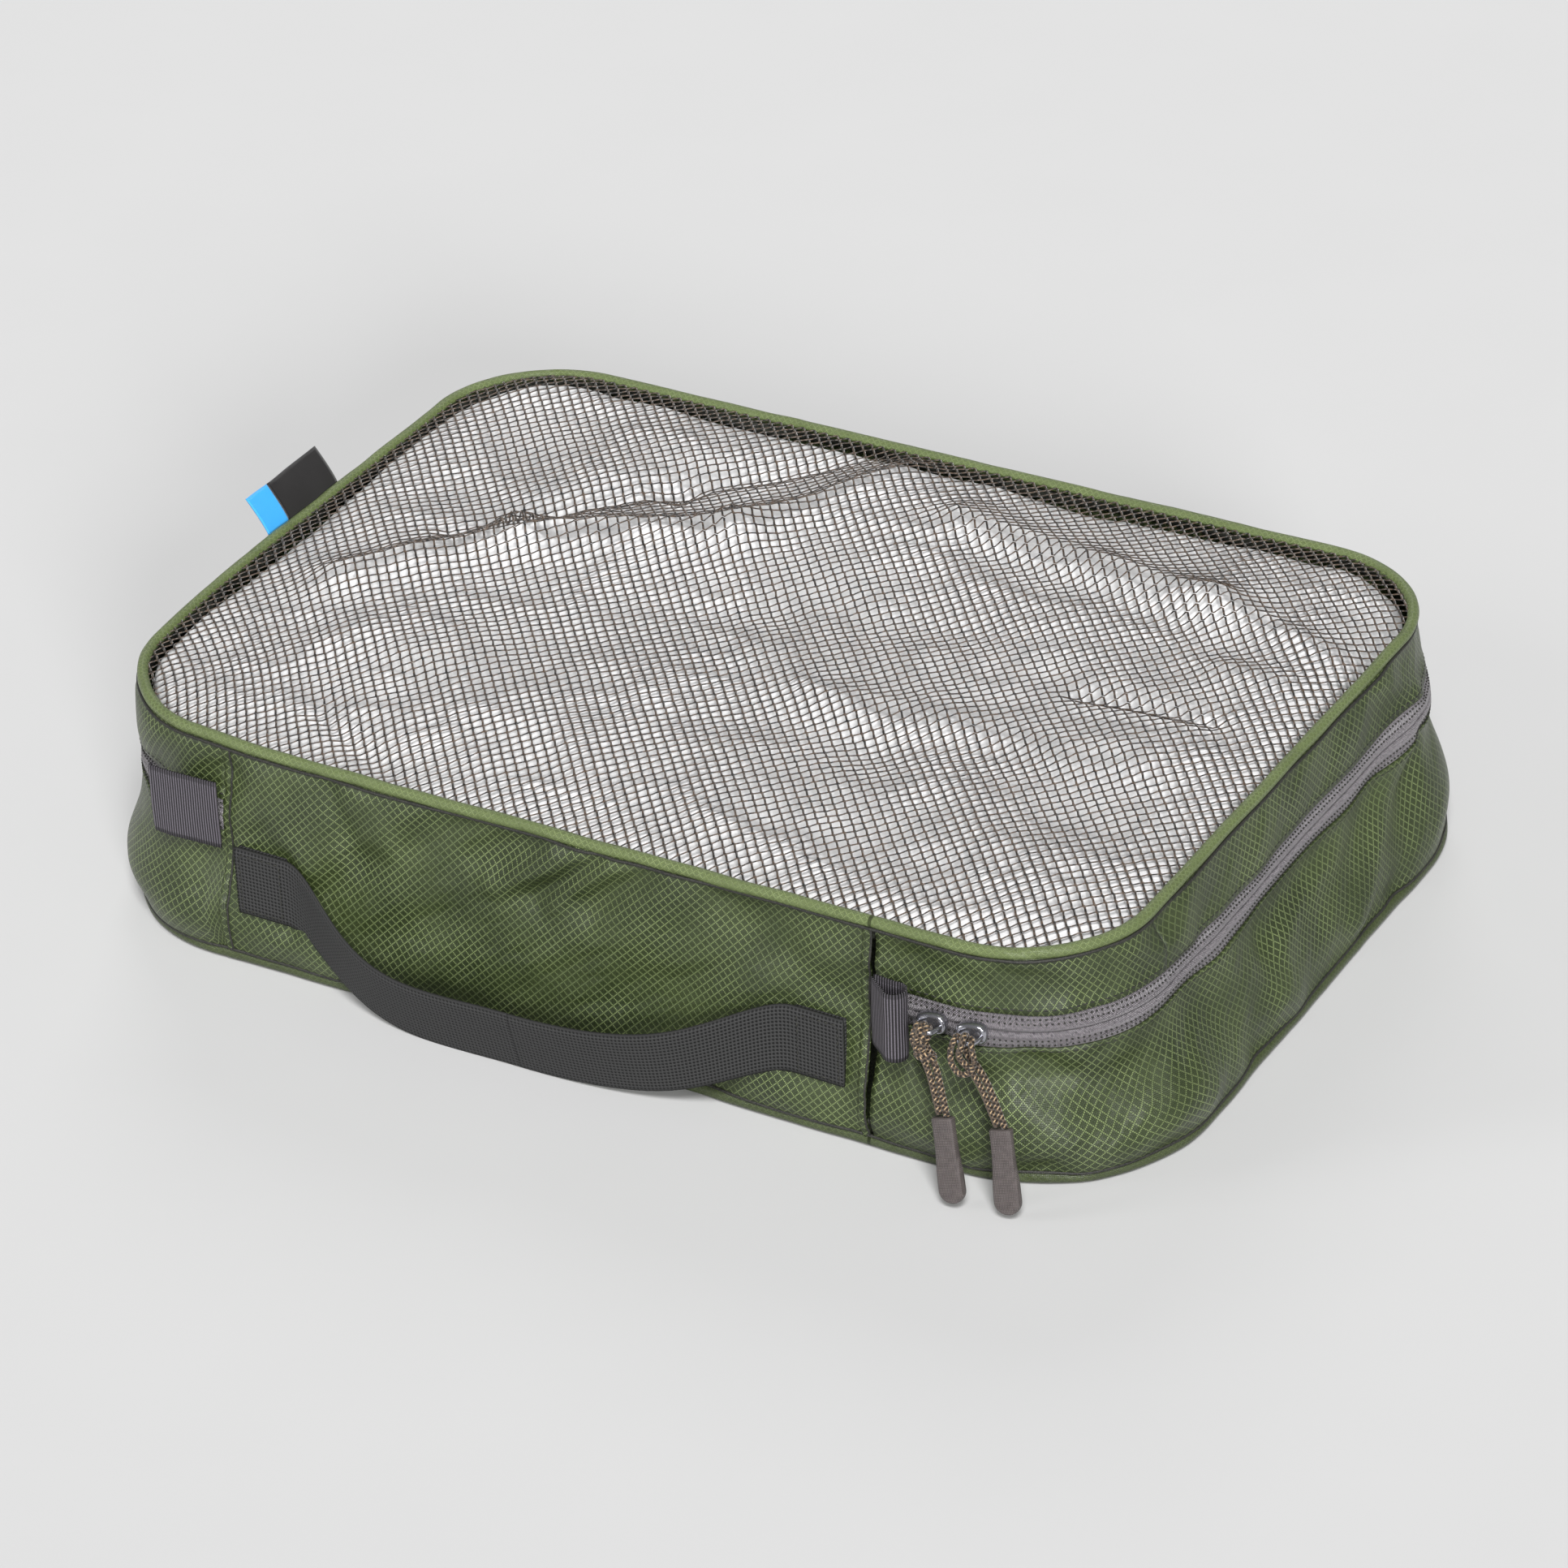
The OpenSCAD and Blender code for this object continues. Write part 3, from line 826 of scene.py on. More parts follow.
def case_number(z):
    """Half length, half width, corner radius and lean as plain numbers."""
    return tuple(float(v) for v in case_at(np.array(float(z))))


def slider_frames():
    """For each slider: its origin on the wall at zip height, and its turn about Z."""
    half_l, half_w, radius, lean = case_number(ZIP_Z)
    left = (np.array([SLIDER_LEFT_X, -half_w - WALL_IN, ZIP_Z]), 0.0)
    centre = np.array([lean + half_l - radius, radius - half_w, ZIP_Z])
    s, c = math.sin(SLIDER_RIGHT_TURN), math.cos(SLIDER_RIGHT_TURN)
    return {"left": left, "right": (centre + (radius + WALL_IN) * np.array([s, -c, 0]),
                                    SLIDER_RIGHT_TURN)}


SLIDERS = slider_frames()


def at_slider(which, points):
    """Points drawn facing -Y at the origin, turned and moved to that slider."""
    origin, turn = SLIDERS[which]
    s, c = math.sin(turn), math.cos(turn)
    p = np.asarray(points, float)
    return np.stack([p[..., 0] * c - p[..., 1] * s, p[..., 0] * s + p[..., 1] * c,
                     p[..., 2]], -1) + origin


def at_bar(which, points):
    """Points drawn hanging from the bar, swung outwards about it, then put at that slider."""
    s, c = math.sin(PULL_SWING), math.cos(PULL_SWING)
    p = np.asarray(points, float)
    x, y, z = p[..., 0], p[..., 1], p[..., 2]
    return at_slider(which, np.stack([x, y * c + z * s - BAR_OUT, z * c - y * s], -1))


CORDS = {}
for which, lean in (("left", LEFT_LEAN), ("right", RIGHT_LEAN)):
    path = at_bar(which, smoothed(cord_route(lean)))
    sideways = at_slider(which, [(1, 0, 0)])[0] - SLIDERS[which][0]
    obj = build(f"cord_{which}", tube(path, sideways, ring_profile(10, CORD_R, CORD_R)),
                f"{which}_pull")
    dress(obj, BRAID, "cord", f"pull_{which}_cord")
    CORDS[which] = (obj, path)
    print(which, "cord:", round(float(np.linalg.norm(np.diff(path, axis=0), axis=1).sum()), 1),
          "mm")

# %% [markdown]
# ## Grips and knots
# Each grip is a moulded tab: square at the top, a little waisted, round and thick at its
# foot. A box with bevels would look like a box; a superellipse carried down a width that
# changes has the moulded look. The left cord has a wrapped knot, the right a hitch.

# %% Grips
GRIP_L, GRIP_W, GRIP_T = 28.0, 8.6, 4.0
GRIP_SIDES = 28


def grip_shape(lean, tilt):
    """Rings down the grip: a superellipse |x/w|^4 + |y/t|^4 = 1, with w waisted above the
    middle, widest near the foot and closing there as a circle."""
    down = np.concatenate([[0, 0.15], np.linspace(0.6, GRIP_L - 4.4, 20),
                           GRIP_L - 4.3 * (1 - np.sin(np.linspace(0.06, 1, 14) * math.pi / 2))])
    foot = np.sqrt(np.clip(1 - np.clip((down - GRIP_L + 4.3) / 4.3, 0, 1) ** 2, 0.002, 1))
    share = np.clip(down / (GRIP_L - 4), 0, 1)
    waist = 0.86 - 0.07 * np.sin(math.pi * np.clip(share * 1.3, 0, 1)) + 0.16 * eased(share)
    top = np.where(down < 0.1, 0.88, np.where(down < 0.5, 0.96, 1.0))
    a = 2 * math.pi * np.arange(GRIP_SIDES) / GRIP_SIDES
    round_x = np.sign(np.cos(a)) * np.abs(np.cos(a)) ** 0.5
    round_y = np.sign(np.sin(a)) * np.abs(np.sin(a)) ** 0.5
    x = (GRIP_W / 2) * (waist * foot * top)[:, None] * round_x[None, :]
    y = (GRIP_T / 2) * (top * (0.35 + 0.65 * foot))[:, None] * round_y[None, :]
    z = np.broadcast_to(-down[:, None], x.shape)
    s, c = math.sin(math.radians(tilt)), math.cos(math.radians(tilt))
    head = -CORD_DROP - 0.1 - 2.4 * abs(s)
    points = np.stack([lean + x * c + z * s, y, head + z * c - x * s], -1)
    n, m = x.shape
    i, j = np.arange(n - 1)[:, None], np.arange(m)[None, :]
    right = (j + 1) % m
    face = np.stack([i * m + j, (i + 1) * m + j, (i + 1) * m + right, i * m + right], -1)
    blocks = [face.reshape(-1, 4), np.arange(m)[None, :],
              (n - 1) * m + np.arange(m)[None, ::-1]]
    return points.reshape(-1, 3), blocks, np.stack([x.ravel(), z.ravel()], -1)


def coil(centre, wide, deep, turns, pitch, tilt, radius=0.95):
    """Cord wound round: an ellipse wide by deep that climbs `pitch` a turn, tilted."""
    a = np.linspace(0, 2 * math.pi * turns, int(turns * 20) + 1)
    x, y = wide * np.cos(a), deep * np.sin(a)
    z = pitch * (a / (2 * math.pi) - turns / 2) + x * math.tan(math.radians(tilt))
    path = np.stack([x, y, z], -1) + np.array(centre)
    return path, ring_profile(8, radius, radius)


def wound(which, coils):
    """One raw surface from several coils, put at a slider."""
    raws = []
    for path, ring in coils:
        points, blocks, uv = tube(path, (0, 0, 1), ring)
        raws.append((at_bar(which, points), blocks, uv))
    return joined(raws)


def over_bar(x, foot, end):
    """A short strand from behind the bar, over it and down to a foot point."""
    return smoothed(np.array([(0.7 * x, 1.4, -3.0), (x, 2.1, -0.4), (x, 1.2, 1.9), (x, -0.6, 2.2),
                              (x, -2.2, 0.6), (1.05 * x, -2.5, -2.0), foot, end]), 5)


CORD_RING = ring_profile(8, 1.0, 1.0)
HITCH = smoothed(np.array([(-2.0, 1.6, 0.6), (-2.3, -0.4, 2.2), (-2.9, -2.2, 0.4),
                           (-3.3, -2.6, -3.0), (-2.3, -2.9, -6.6), (0.5, -3.0, -9.0),
                           (3.4, -2.8, -8.0), (4.6, -2.6, -4.4), (3.4, -2.4, -0.4),
                           (2.6, -0.6, 2.1), (2.2, 1.4, 0.8)]), 5)
KNOTS = {
    "left": [coil((2.0, 0, -7.0), 2.9, 2.4, 1.9, 1.4, -10, 1.0),
             (over_bar(-1.6, (-0.6, -2.0, -4.6), (0.4, -1.4, -7.5)), CORD_RING),
             (over_bar(1.7, (1.9, -2.0, -4.6), (2.2, -1.4, -7.5)), CORD_RING)],
    "right": [(HITCH, CORD_RING)],
}
KNOT_NODES = {"left": "pull_left_knot", "right": "pull_right_hitch"}
for which, lean, tilt in (("left", LEFT_LEAN, LEFT_TILT), ("right", RIGHT_LEAN, RIGHT_TILT)):
    points, blocks, uv = grip_shape(lean, tilt)
    grip = build(f"grip_{which}", (at_bar(which, points), blocks, uv), f"{which}_pull")
    dress(grip, RUBBER, "grip", f"pull_{which}_grip")
    knot = build(f"knot_{which}", wound(which, KNOTS[which]), f"{which}_pull")
    dress(knot, BRAID, "cord", KNOT_NODES[which])
    obj, path = CORDS[which]
    tuple(path[0] * MM)
    (path * MM).tolist()

# %% [markdown]
# ## The walls
# The lower wall goes from the base welt to the zip, the front panel from the base to the
# rim, and the upper wall from the zip to the rim. A cloth modifier could drape them, but the
# creases of a real case come from its seams, so they are placed by the sag function. Each
# edge that meets the zip is turned under, so it swells a little.

# %% Wall cloth
LOW_Z = 3.6
CLOTH_T = 0.7
STEP = 1.9


def wall_grid(u0, u1, z0, z1, out, edges=(0.0, 0.0), step=STEP):
    """Grid on the side; `edges` lifts the bottom and top 2.5 mm as a turned hem does."""
    u = np.linspace(u0, u1, max(int((u1 - u0) / step), 2) + 1)[:, None]
    z = np.linspace(z0, z1, max(int((z1 - z0) / step), 2) + 1)[None, :]
    hem = edges[0] * np.exp(-((z - z0) / 2.2) ** 4) + edges[1] * np.exp(-((z1 - z) / 2.2) ** 4)
    u, z, hem = np.broadcast_arrays(u, z, hem)
    return u, z, out + hem


def wall(u0, u1, z0, z1, out=WALL_IN, t=CLOTH_T, edges=(0.0, 0.0), step=STEP):
    """A sheet of wall cloth, t thick, with its cloth map in mm round and up."""
    u, z, away = wall_grid(u0, u1, z0, z1, out, edges, step)
    return shell(side(u, z, away), side(u, z, np.full_like(away, out - t)),
                 np.stack([u, z], -1))


SEAM_GAP = 1.0
TAPE_LOW, TAPE_HIGH = ZIP_Z - TAPE, ZIP_Z + TAPE
RIM_UNDER = RIM_Z - RIM_WELT - 0.1
obj = build("wall_lower", wall(SEAM_GAP, LEFT_SEAM_U - SEAM_GAP, LOW_Z, TAPE_LOW, edges=(0, 0.6)),
            "base")
dress(obj, CASE_CLOTH, "ripstop", "lower_wall")
obj = build("wall_front", wall(LEFT_SEAM_U + 0.4, ROUND - 0.4, LOW_Z, RIM_UNDER + 1.0), "base")
dress(obj, CASE_CLOTH, "ripstop", "front_panel")

# %% [markdown]
# ## Cloth that crosses the lid's hinge
# The lid turns about the front rim, yet the cloth above the zip stays sewn to the front
# panel at both seams. So everything above the zip comes in three parts: the long part round
# the sides and back rides on the lid, and the two front parts are attached to no body.

# %% Parts above the zip
def lid_parts(name, make, material, slot, *nodes):
    """Makes make(u0, u1) in three parts; the long one is attached to the lid and the two at the
    front to no body.
    """
    corner_r, corner_l = U[2], U[7]
    spans = {"right": (SEAM_GAP, corner_r), "round": (corner_r, corner_l),
             "left": (corner_l, LEFT_SEAM_U - SEAM_GAP)}
    for part, (u0, u1) in spans.items():
        body = "lid" if part == "round" else None
        obj = build(f"{name}_{part}", make(u0, u1), body)
        dress(obj, material, slot, *nodes)
        if body is None:
            ends = (SEAM_GAP, U[2]) if part == "right" else (LEFT_SEAM_U - SEAM_GAP, U[7])
            x0, x1 = (float(side(u, RIM_Z)[0]) * MM for u in ends)
            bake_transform(obj)


lid_parts("wall_upper", lambda a, b: wall(a, b, TAPE_HIGH, RIM_UNDER + 1.0, edges=(0.6, 0)),
          CASE_CLOTH, "ripstop", "upper_wall")

# %% [markdown]
# ## The zip
# It is a reversed coil zip: the flat back of two tapes shows, with the coil hidden behind
# and a fine line where they meet. Each tape is a thin shell that swells by its coil, with
# two rows of sewn dots, and the nylon teeth are short loops behind the edge.

# %% Zip tapes, teeth and stitch rows
MEET = 0.12


def tape(u0, u1, upward):
    """Tape from the wall's hem to the middle line; it swells by 0.5 mm over the coil."""
    z0, z1 = (ZIP_Z + MEET, TAPE_HIGH + 0.8) if upward else (TAPE_LOW - 0.8, ZIP_Z - MEET)
    u, z, out = wall_grid(u0, u1, z0, z1, WALL_IN, step=0.9)
    height = np.abs(z - ZIP_Z)
    swell = 0.75 * np.exp(-((height - 1.5) / 1.2) ** 2) - 0.35 * np.exp(-(height / 0.5) ** 2)
    ease = -0.35 * eased((height - TAPE + 1.2) / 1.2)
    outer = side(u, z, out + swell + ease)
    return shell(outer, side(u, z, out - 0.9), np.stack([u, z - ZIP_Z], -1))


def round_row(u0, u1, pitch, length, z0, z1, out, radius):
    """Stitches round the case: from (u, z0) to (u + length, z1), one each pitch."""
    u = np.arange(u0 + 0.8, u1 - length, pitch)
    return stitches(side(u, z0, out), side(u + length, z1, out), side_out(u), radius)


def dots(u0, u1, heights):
    """Rows of small sewn dots at several heights on the tape."""
    return joined([round_row(u0, u1, 1.9, 0.85, z, z, WALL_IN + 0.42, 0.34) for z in heights])


def teeth(u0, u1, upward):
    """Coil loops behind the tape: short upright stubs, those of the other half between."""
    pitch, start = 1.3, 0.65 if upward else 0.0
    z0, z1 = (ZIP_Z - 0.5, ZIP_Z + 2.6) if upward else (ZIP_Z - 2.6, ZIP_Z + 0.5)
    u = np.arange(u0 + 1.0 + start, u1 - 1.0, pitch)
    return stitches(side(u, z0, WALL_IN - 1.5), side(u, z1, WALL_IN - 1.5), side_out(u), 0.42)


def hem_row(u0, u1, z):
    """The line of top stitches that holds a hem."""
    return round_row(u0, u1, 2.7, 2.1, z, z, WALL_IN + 0.28, 0.3)


LOWER_SPAN = (SEAM_GAP, LEFT_SEAM_U - SEAM_GAP)
obj = build("zip_tape_lower", tape(*LOWER_SPAN, False), "base")
dress(obj, ZIP_CLOTH, "zip_tape", "lower_zip_tape")
obj = build("zip_teeth_lower", teeth(*LOWER_SPAN, False), "base")
dress(obj, TEETH, "zip_coil", "lower_zip_coil")
obj = build("zip_dots_lower", dots(*LOWER_SPAN, (ZIP_Z - 4.7, ZIP_Z - 3.0)), "base")
dress(obj, THREAD, "thread")
obj = build("hem_stitch_lower", hem_row(*LOWER_SPAN, TAPE_LOW - 1.5), "base")
dress(obj, THREAD, "thread", "lower_topstitch")
lid_parts("zip_tape_upper", lambda a, b: tape(a, b, True), ZIP_CLOTH, "zip_tape",
          "upper_zip_tape")
lid_parts("zip_teeth_upper", lambda a, b: teeth(a, b, True), TEETH, "zip_coil",
          "upper_zip_coil")
lid_parts("zip_dots_upper", lambda a, b: dots(a, b, (ZIP_Z + 3.0, ZIP_Z + 4.7)), THREAD,
          "thread")
lid_parts("hem_stitch_upper", lambda a, b: hem_row(a, b, TAPE_HIGH + 1.5), THREAD, "thread",
          "upper_topstitch")

# %% [markdown]
# ## Welts and bindings
# A welt is a cord wrapped in cloth and sewn into a seam. A torus-like sweep is enough, but
# real piping is never quite even, so its height and thickness wander. A dark thread line
# lies where it meets the wall, and a binding covers the raw edges inside.

# %% Welts
WELT_STEP = 2.2


def welt(z, radius, out, seed, wander=0.25):
    """Closed ring of radius r round the side; height and r vary by slow noise."""
    u = np.arange(0, ROUND, WELT_STEP)
    turn = np.cos(2 * math.pi * u / ROUND) * 300, np.sin(2 * math.pi * u / ROUND) * 300
    height = z + wander * noise(*turn, 24, seed)
    path = side(u, height, out)
    scale = 1 + 0.05 * noise(*turn, 11, seed + 1)
    return tube(path, (0, 0, 1), ring_profile(14, radius, radius), scale, closed=True)


obj = build("rim_welt", welt(RIM_Z, RIM_WELT, -RIM_WELT, 21), "lid")
dress(obj, RIM_WELT_CLOTH, "rim_welt", "top_piping")
obj = build("rim_seam_line", welt(RIM_UNDER + 0.1, 0.55, WALL_IN + 0.25, 21), "lid")
dress(obj, THREAD, "binding")
obj = build("base_welt", welt(BASE_Z + 0.2, BASE_WELT, -BASE_WELT, 31, 0.0), "base")
dress(obj, BASE_WELT_CLOTH, "base_welt", "bottom_piping")
obj = build("base_seam_line", welt(2 * BASE_WELT + 0.3, 0.6, WALL_IN - 0.1, 31, 0.0), "base")
dress(obj, THREAD, "binding")


def inner_band(z0, z1, inset):
    """Binding tape inside the case, all the way round."""
    u = np.arange(0, ROUND, 3.0)[:, None]
    z = np.linspace(z0, z1, 5)[None, :]
    u, z = np.broadcast_arrays(u, z)
    return shell(side(u, z, -inset), side(u, z, -inset - 0.8), np.stack([u, z], -1), wrap=True)


obj = build("binding_base", inner_band(4.5, 11, 2.4), "base")
dress(obj, BINDING, "binding", "bottom_binding")
obj = build("binding_rim", inner_band(RIM_UNDER - 4, RIM_UNDER - 0.3, 2.4), "lid")
dress(obj, BINDING, "binding", "top_binding")

# %% [markdown]
# ## The two upright seams
# Beside the handle panel, the zip and both side walls end in a seam. The cloth is folded
# back on itself there, so a soft ridge stands up, gathered by its thread.

# %% Upright seams
def upright_seam(at_u, seed):
    """Ridge 3 mm wide: height 0.6 (1 - s^2)^2, with puckers from noise along the seam."""
    s = np.linspace(-1, 1, 9)[:, None]
    z = np.linspace(LOW_Z + 0.4, RIM_UNDER + 0.6, 76)[None, :]
    height = (0.6 + 0.3 * noise(z * 1.0, z, 4.5, seed + 1)) * (1 - s**2) ** 2
    u = at_u + 1.5 * s + seam_sway(z, seed)
    u, z, height = np.broadcast_arrays(u, z, height)
    return shell(side(u % ROUND, z, WALL_IN + height), side(u % ROUND, z, WALL_IN - 1.6),
                 np.stack([u, z], -1))


def seam_sway(z, seed):
    """How far the seam wanders sideways, in mm."""
    return 0.5 * noise(z, z, 15, seed)


def seam_thread(at_u, seed):
    """The dark sunken line of thread at the seam: a thin cord up the side."""
    z = np.linspace(LOW_Z + 0.6, RIM_UNDER, 60)
    u = (at_u + seam_sway(z, seed)) % ROUND
    return tube(side(u, z, WALL_IN + 0.1), side_out(u), ring_profile(6, 0.42, 0.35))


for name, at_u, thread_u, seed in (("right", ROUND - 2.4, ROUND - 0.7, 41),
                                   ("left", LEFT_SEAM_U, LEFT_SEAM_U + 1.9, 43)):
    obj = build(f"seam_ridge_{name}", upright_seam(at_u, seed), "base")
    dress(obj, CASE_CLOTH, "ripstop", f"seam_binding_{name}")
    obj = build(f"seam_thread_{name}", seam_thread(thread_u, seed), "base")
    dress(obj, THREAD, "thread")

# %% [markdown]
# ## Ribbon tab and ribbon loop
# Both ends of the zip are covered: on the left by a flat ribbon tab, on the right by a
# ribbon folded into a standing loop. Both are 25 mm grosgrain, so they are thin shells along
# a bent line, with the cloth map running along the ribbon for its ribs.

# %% Tab and loop
tab_low, tab_high = (np.array(v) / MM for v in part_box("end_tab"))
loop_low, loop_high = (np.array(v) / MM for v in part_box("side_loop"))


def ribbon(line, z0, z1, thick, waves=0.0, seed=51):
    """Ribbon standing on edge along a level line; its two faces lie t/2 either side."""
    line = np.asarray(line, float)
    z = np.linspace(z0, z1, 14)[None, :]
    along = unit(np.gradient(line, axis=0))
    out = np.stack([along[:, 1], -along[:, 0]], -1)
    run = np.concatenate([[0], np.cumsum(np.linalg.norm(np.diff(line, axis=0), axis=1))])
    wave = waves * noise(run[:, None], z, 9, seed)
    edge = 1 - 0.35 * (np.abs(z - (z0 + z1) / 2) / ((z1 - z0) / 2)) ** 12
    faces = []
    for offset in (thick / 2, -thick / 2):
        level = line[:, None] + out[:, None] * (wave + offset * edge)[..., None]
        faces.append(np.concatenate([level, np.broadcast_to(z, wave.shape)[..., None]], -1))
    uv = np.stack(np.broadcast_arrays(run[:, None], z - z0), -1)
    return shell(faces[0], faces[1], uv)


def tab_line():
    """From the seam to the left end, then a tight fold back under itself."""
    y = (tab_low[1] + tab_high[1]) / 2 - 0.1
    x = np.linspace(tab_low[0] + 1.0, tab_high[0] + 1.4, 26)
    a = np.linspace(-math.pi / 2, -1.4 * math.pi, 8)[::-1]
    fold_x, fold_y = tab_low[0] + 1.0 + 0.8 * np.cos(a), y + 0.8 + 0.8 * np.sin(a)
    lift = 0.5 * np.sin(math.pi * (x - tab_low[0]) / (tab_high[0] - tab_low[0]))
    return np.stack([np.concatenate([fold_x[:-1], x]), np.concatenate([fold_y[:-1], y - lift])],
                    -1)


def loop_line():
    """Teardrop seen from above: out from the seam, round the eye and back."""
    root_x, root_y = loop_low[0] + 0.3, -(rim_high[1] + 3.1)
    eye = np.array([loop_high[0] - 4.4, (loop_low[1] + loop_high[1]) / 2 - 0.6])
    a = np.linspace(-1.95, 1.85, 30)
    bend = eye + 3.9 * np.stack([np.cos(a), np.sin(a)], -1)
    tail = np.linspace(0, 1, 9)[:-1, None]
    first = np.array([root_x, root_y - 0.7]) * (1 - tail) + bend[0] * tail
    last = np.array([root_x, root_y + 0.7]) * (1 - tail) + bend[-1] * tail
    return np.vstack([first, bend, last[::-1]])


obj = build("zip_end_tab", ribbon(tab_line(), tab_low[2], tab_high[2], 1.0, 0.25), "base")
dress(obj, RIBBON, "grosgrain", "end_tab")
obj = build("ribbon_loop", ribbon(loop_line(), loop_low[2], loop_high[2], 0.9, 0.2, 53), "base")
dress(obj, LOOP_RIBBON, "grosgrain", "side_loop")

# %% [markdown]
# ## The handle
# A 25 mm webbing strap is sewn down at both ends and droops in front of the wall. It lifts,
# and then its legs twist while the anchors stay sewn. It is made as two halves attached to
# no body, and the folded ends lie under the anchors.

# %% Handle webbing
WEB_T = 1.8
STRAP_OUT, STRAP_DROP, STRAP_LEAN = 14.5, 20.5, math.radians(16)
STRAP_MID = (ANCHOR_LEFT[1] + ANCHOR_RIGHT[0]) / 2


def strap_droop(x):
    """(1 - |s|^4)^2 (1 - 0.24 s sqrt|s|), with s from -1 to 1 between the anchors."""
    s = np.clip(2 * (x - STRAP_MID) / (ANCHOR_RIGHT[0] - ANCHOR_LEFT[1]), -1, 1)
    return (1 - np.abs(s) ** 4) ** 2 * (1 - 0.24 * s * np.sqrt(np.abs(s)))


def strap(x0, x1, steps, gap=0.35):
    """Flat section carried along the strap: half round edges, and a lean of 16 f degrees."""
    x = np.linspace(x0, x1, steps)
    f = strap_droop(x)
    half_w = case_number(ANCHOR_Z)[1]
    y = -half_w - WEB_T / 2 - gap - STRAP_OUT * f
    z = ANCHOR_Z - STRAP_DROP * f + 0.25 * noise(x, x, 30, 61)
    lean = STRAP_LEAN * f
    w = np.concatenate([np.linspace(-1, 1, 15), np.linspace(1, -1, 15)])
    face = np.concatenate([np.full(15, -1.0), np.full(15, 1.0)])
    thick = WEB_T / 2 * (1 - 0.45 * np.abs(w) ** 14) * face
    c, s = np.cos(lean)[:, None], np.sin(lean)[:, None]
    level = w[None, :] * WEB_W / 2
    points = np.stack([np.broadcast_to(x[:, None], (steps, 30)),
                       y[:, None] + thick * c - level * s, z[:, None] + thick * s + level * c],
                      -1)
    i, j = np.arange(steps - 1)[:, None], np.arange(30)[None, :]
    right = (j + 1) % 30
    side_faces = np.stack([i * 30 + j, (i + 1) * 30 + j, (i + 1) * 30 + right, i * 30 + right],
                          -1).reshape(-1, 4)
    run = np.concatenate([[0], np.cumsum(np.hypot(np.diff(x), np.hypot(np.diff(y), np.diff(z))))])
    uv = np.stack(np.broadcast_arrays(run[:, None] + x0, level), -1).reshape(-1, 2)
    ends = [np.arange(30)[None, :], (steps - 1) * 30 + np.arange(30)[None, ::-1]]
    return points.reshape(-1, 3), [side_faces, *ends], uv


strap_left = build("handle_half_left", strap(ANCHOR_LEFT[0], STRAP_MID, 110))
dress(strap_left, WEBBING, "webbing", "handle_strap", "handle_leg_left")
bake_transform(strap_left)
strap_right = build("handle_half_right", strap(STRAP_MID, ANCHOR_RIGHT[1], 108))
dress(strap_right, WEBBING, "webbing", "handle_strap", "handle_leg_right")
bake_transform(strap_right)


def anchor_under(x0, x1):
    """The folded end under an anchor: a plain plate of webbing down to the wall."""
    x = np.linspace(x0 + 0.3, x1, 12)[:, None]
    z = np.linspace(ANCHOR_Z - WEB_W / 2 + 0.4, ANCHOR_Z + WEB_W / 2 - 0.4, 12)[None, :]
    x, z = np.broadcast_arrays(x, z)
    half_w = case_at(z)[1]
    near = np.stack([x, -half_w - 0.3, z], -1)
    far = np.stack([x, -half_w + 1.6, z], -1)
    return shell(near, far, np.stack([x, z - ANCHOR_Z], -1))


def box_stitch(x0, x1):
    """Dashes round a rectangle 1.8 mm inside the anchor."""
    half_w = case_number(ANCHOR_Z)[1]
    y = -half_w - WEB_T - 0.35
    low, high = ANCHOR_Z - WEB_W / 2 + 2, ANCHOR_Z + WEB_W / 2 - 2
    left, right = x0 + 1.8, x1 - 1.6
    rows = []
    for a, b in (((left, low), (right, low)), ((right, low), (right, high)),
                 ((right, high), (left, high)), ((left, high), (left, low))):
        a, b = np.array(a), np.array(b)
        length = np.linalg.norm(b - a)
        t = (np.arange(int(length / 2.6)) * 2.6 + 0.4)[:, None]
        way = (b - a) / length
        ends = [np.insert(a + way * (t + s), 1, y, axis=1) for s in (0, 1.9)]
        rows.append(stitches(ends[0], ends[1], np.array([0, -1.0, 0]), 0.3))
    return joined(rows)


for name, (x0, x1) in (("left", ANCHOR_LEFT), ("right", ANCHOR_RIGHT)):
    obj = build(f"anchor_{name}", anchor_under(x0, x1), "base")
    dress(obj, WEBBING, "webbing", f"anchor_patch_{name}")
    obj = build(f"anchor_stitch_{name}", box_stitch(x0, x1), "base")
    dress(obj, THREAD, "thread")

# %% [markdown]
# ## Sliders
# Each slider is a small casting: a body with rounded shoulders that narrows to its tail,
# and an arched bail over it that holds the cord. The body is a superellipse grown outwards
# from the tape and closed by a soft dome, the bail a flat strip carried along an arch.

# %% Slider bodies and bails
PLATE_FACE = 4.3


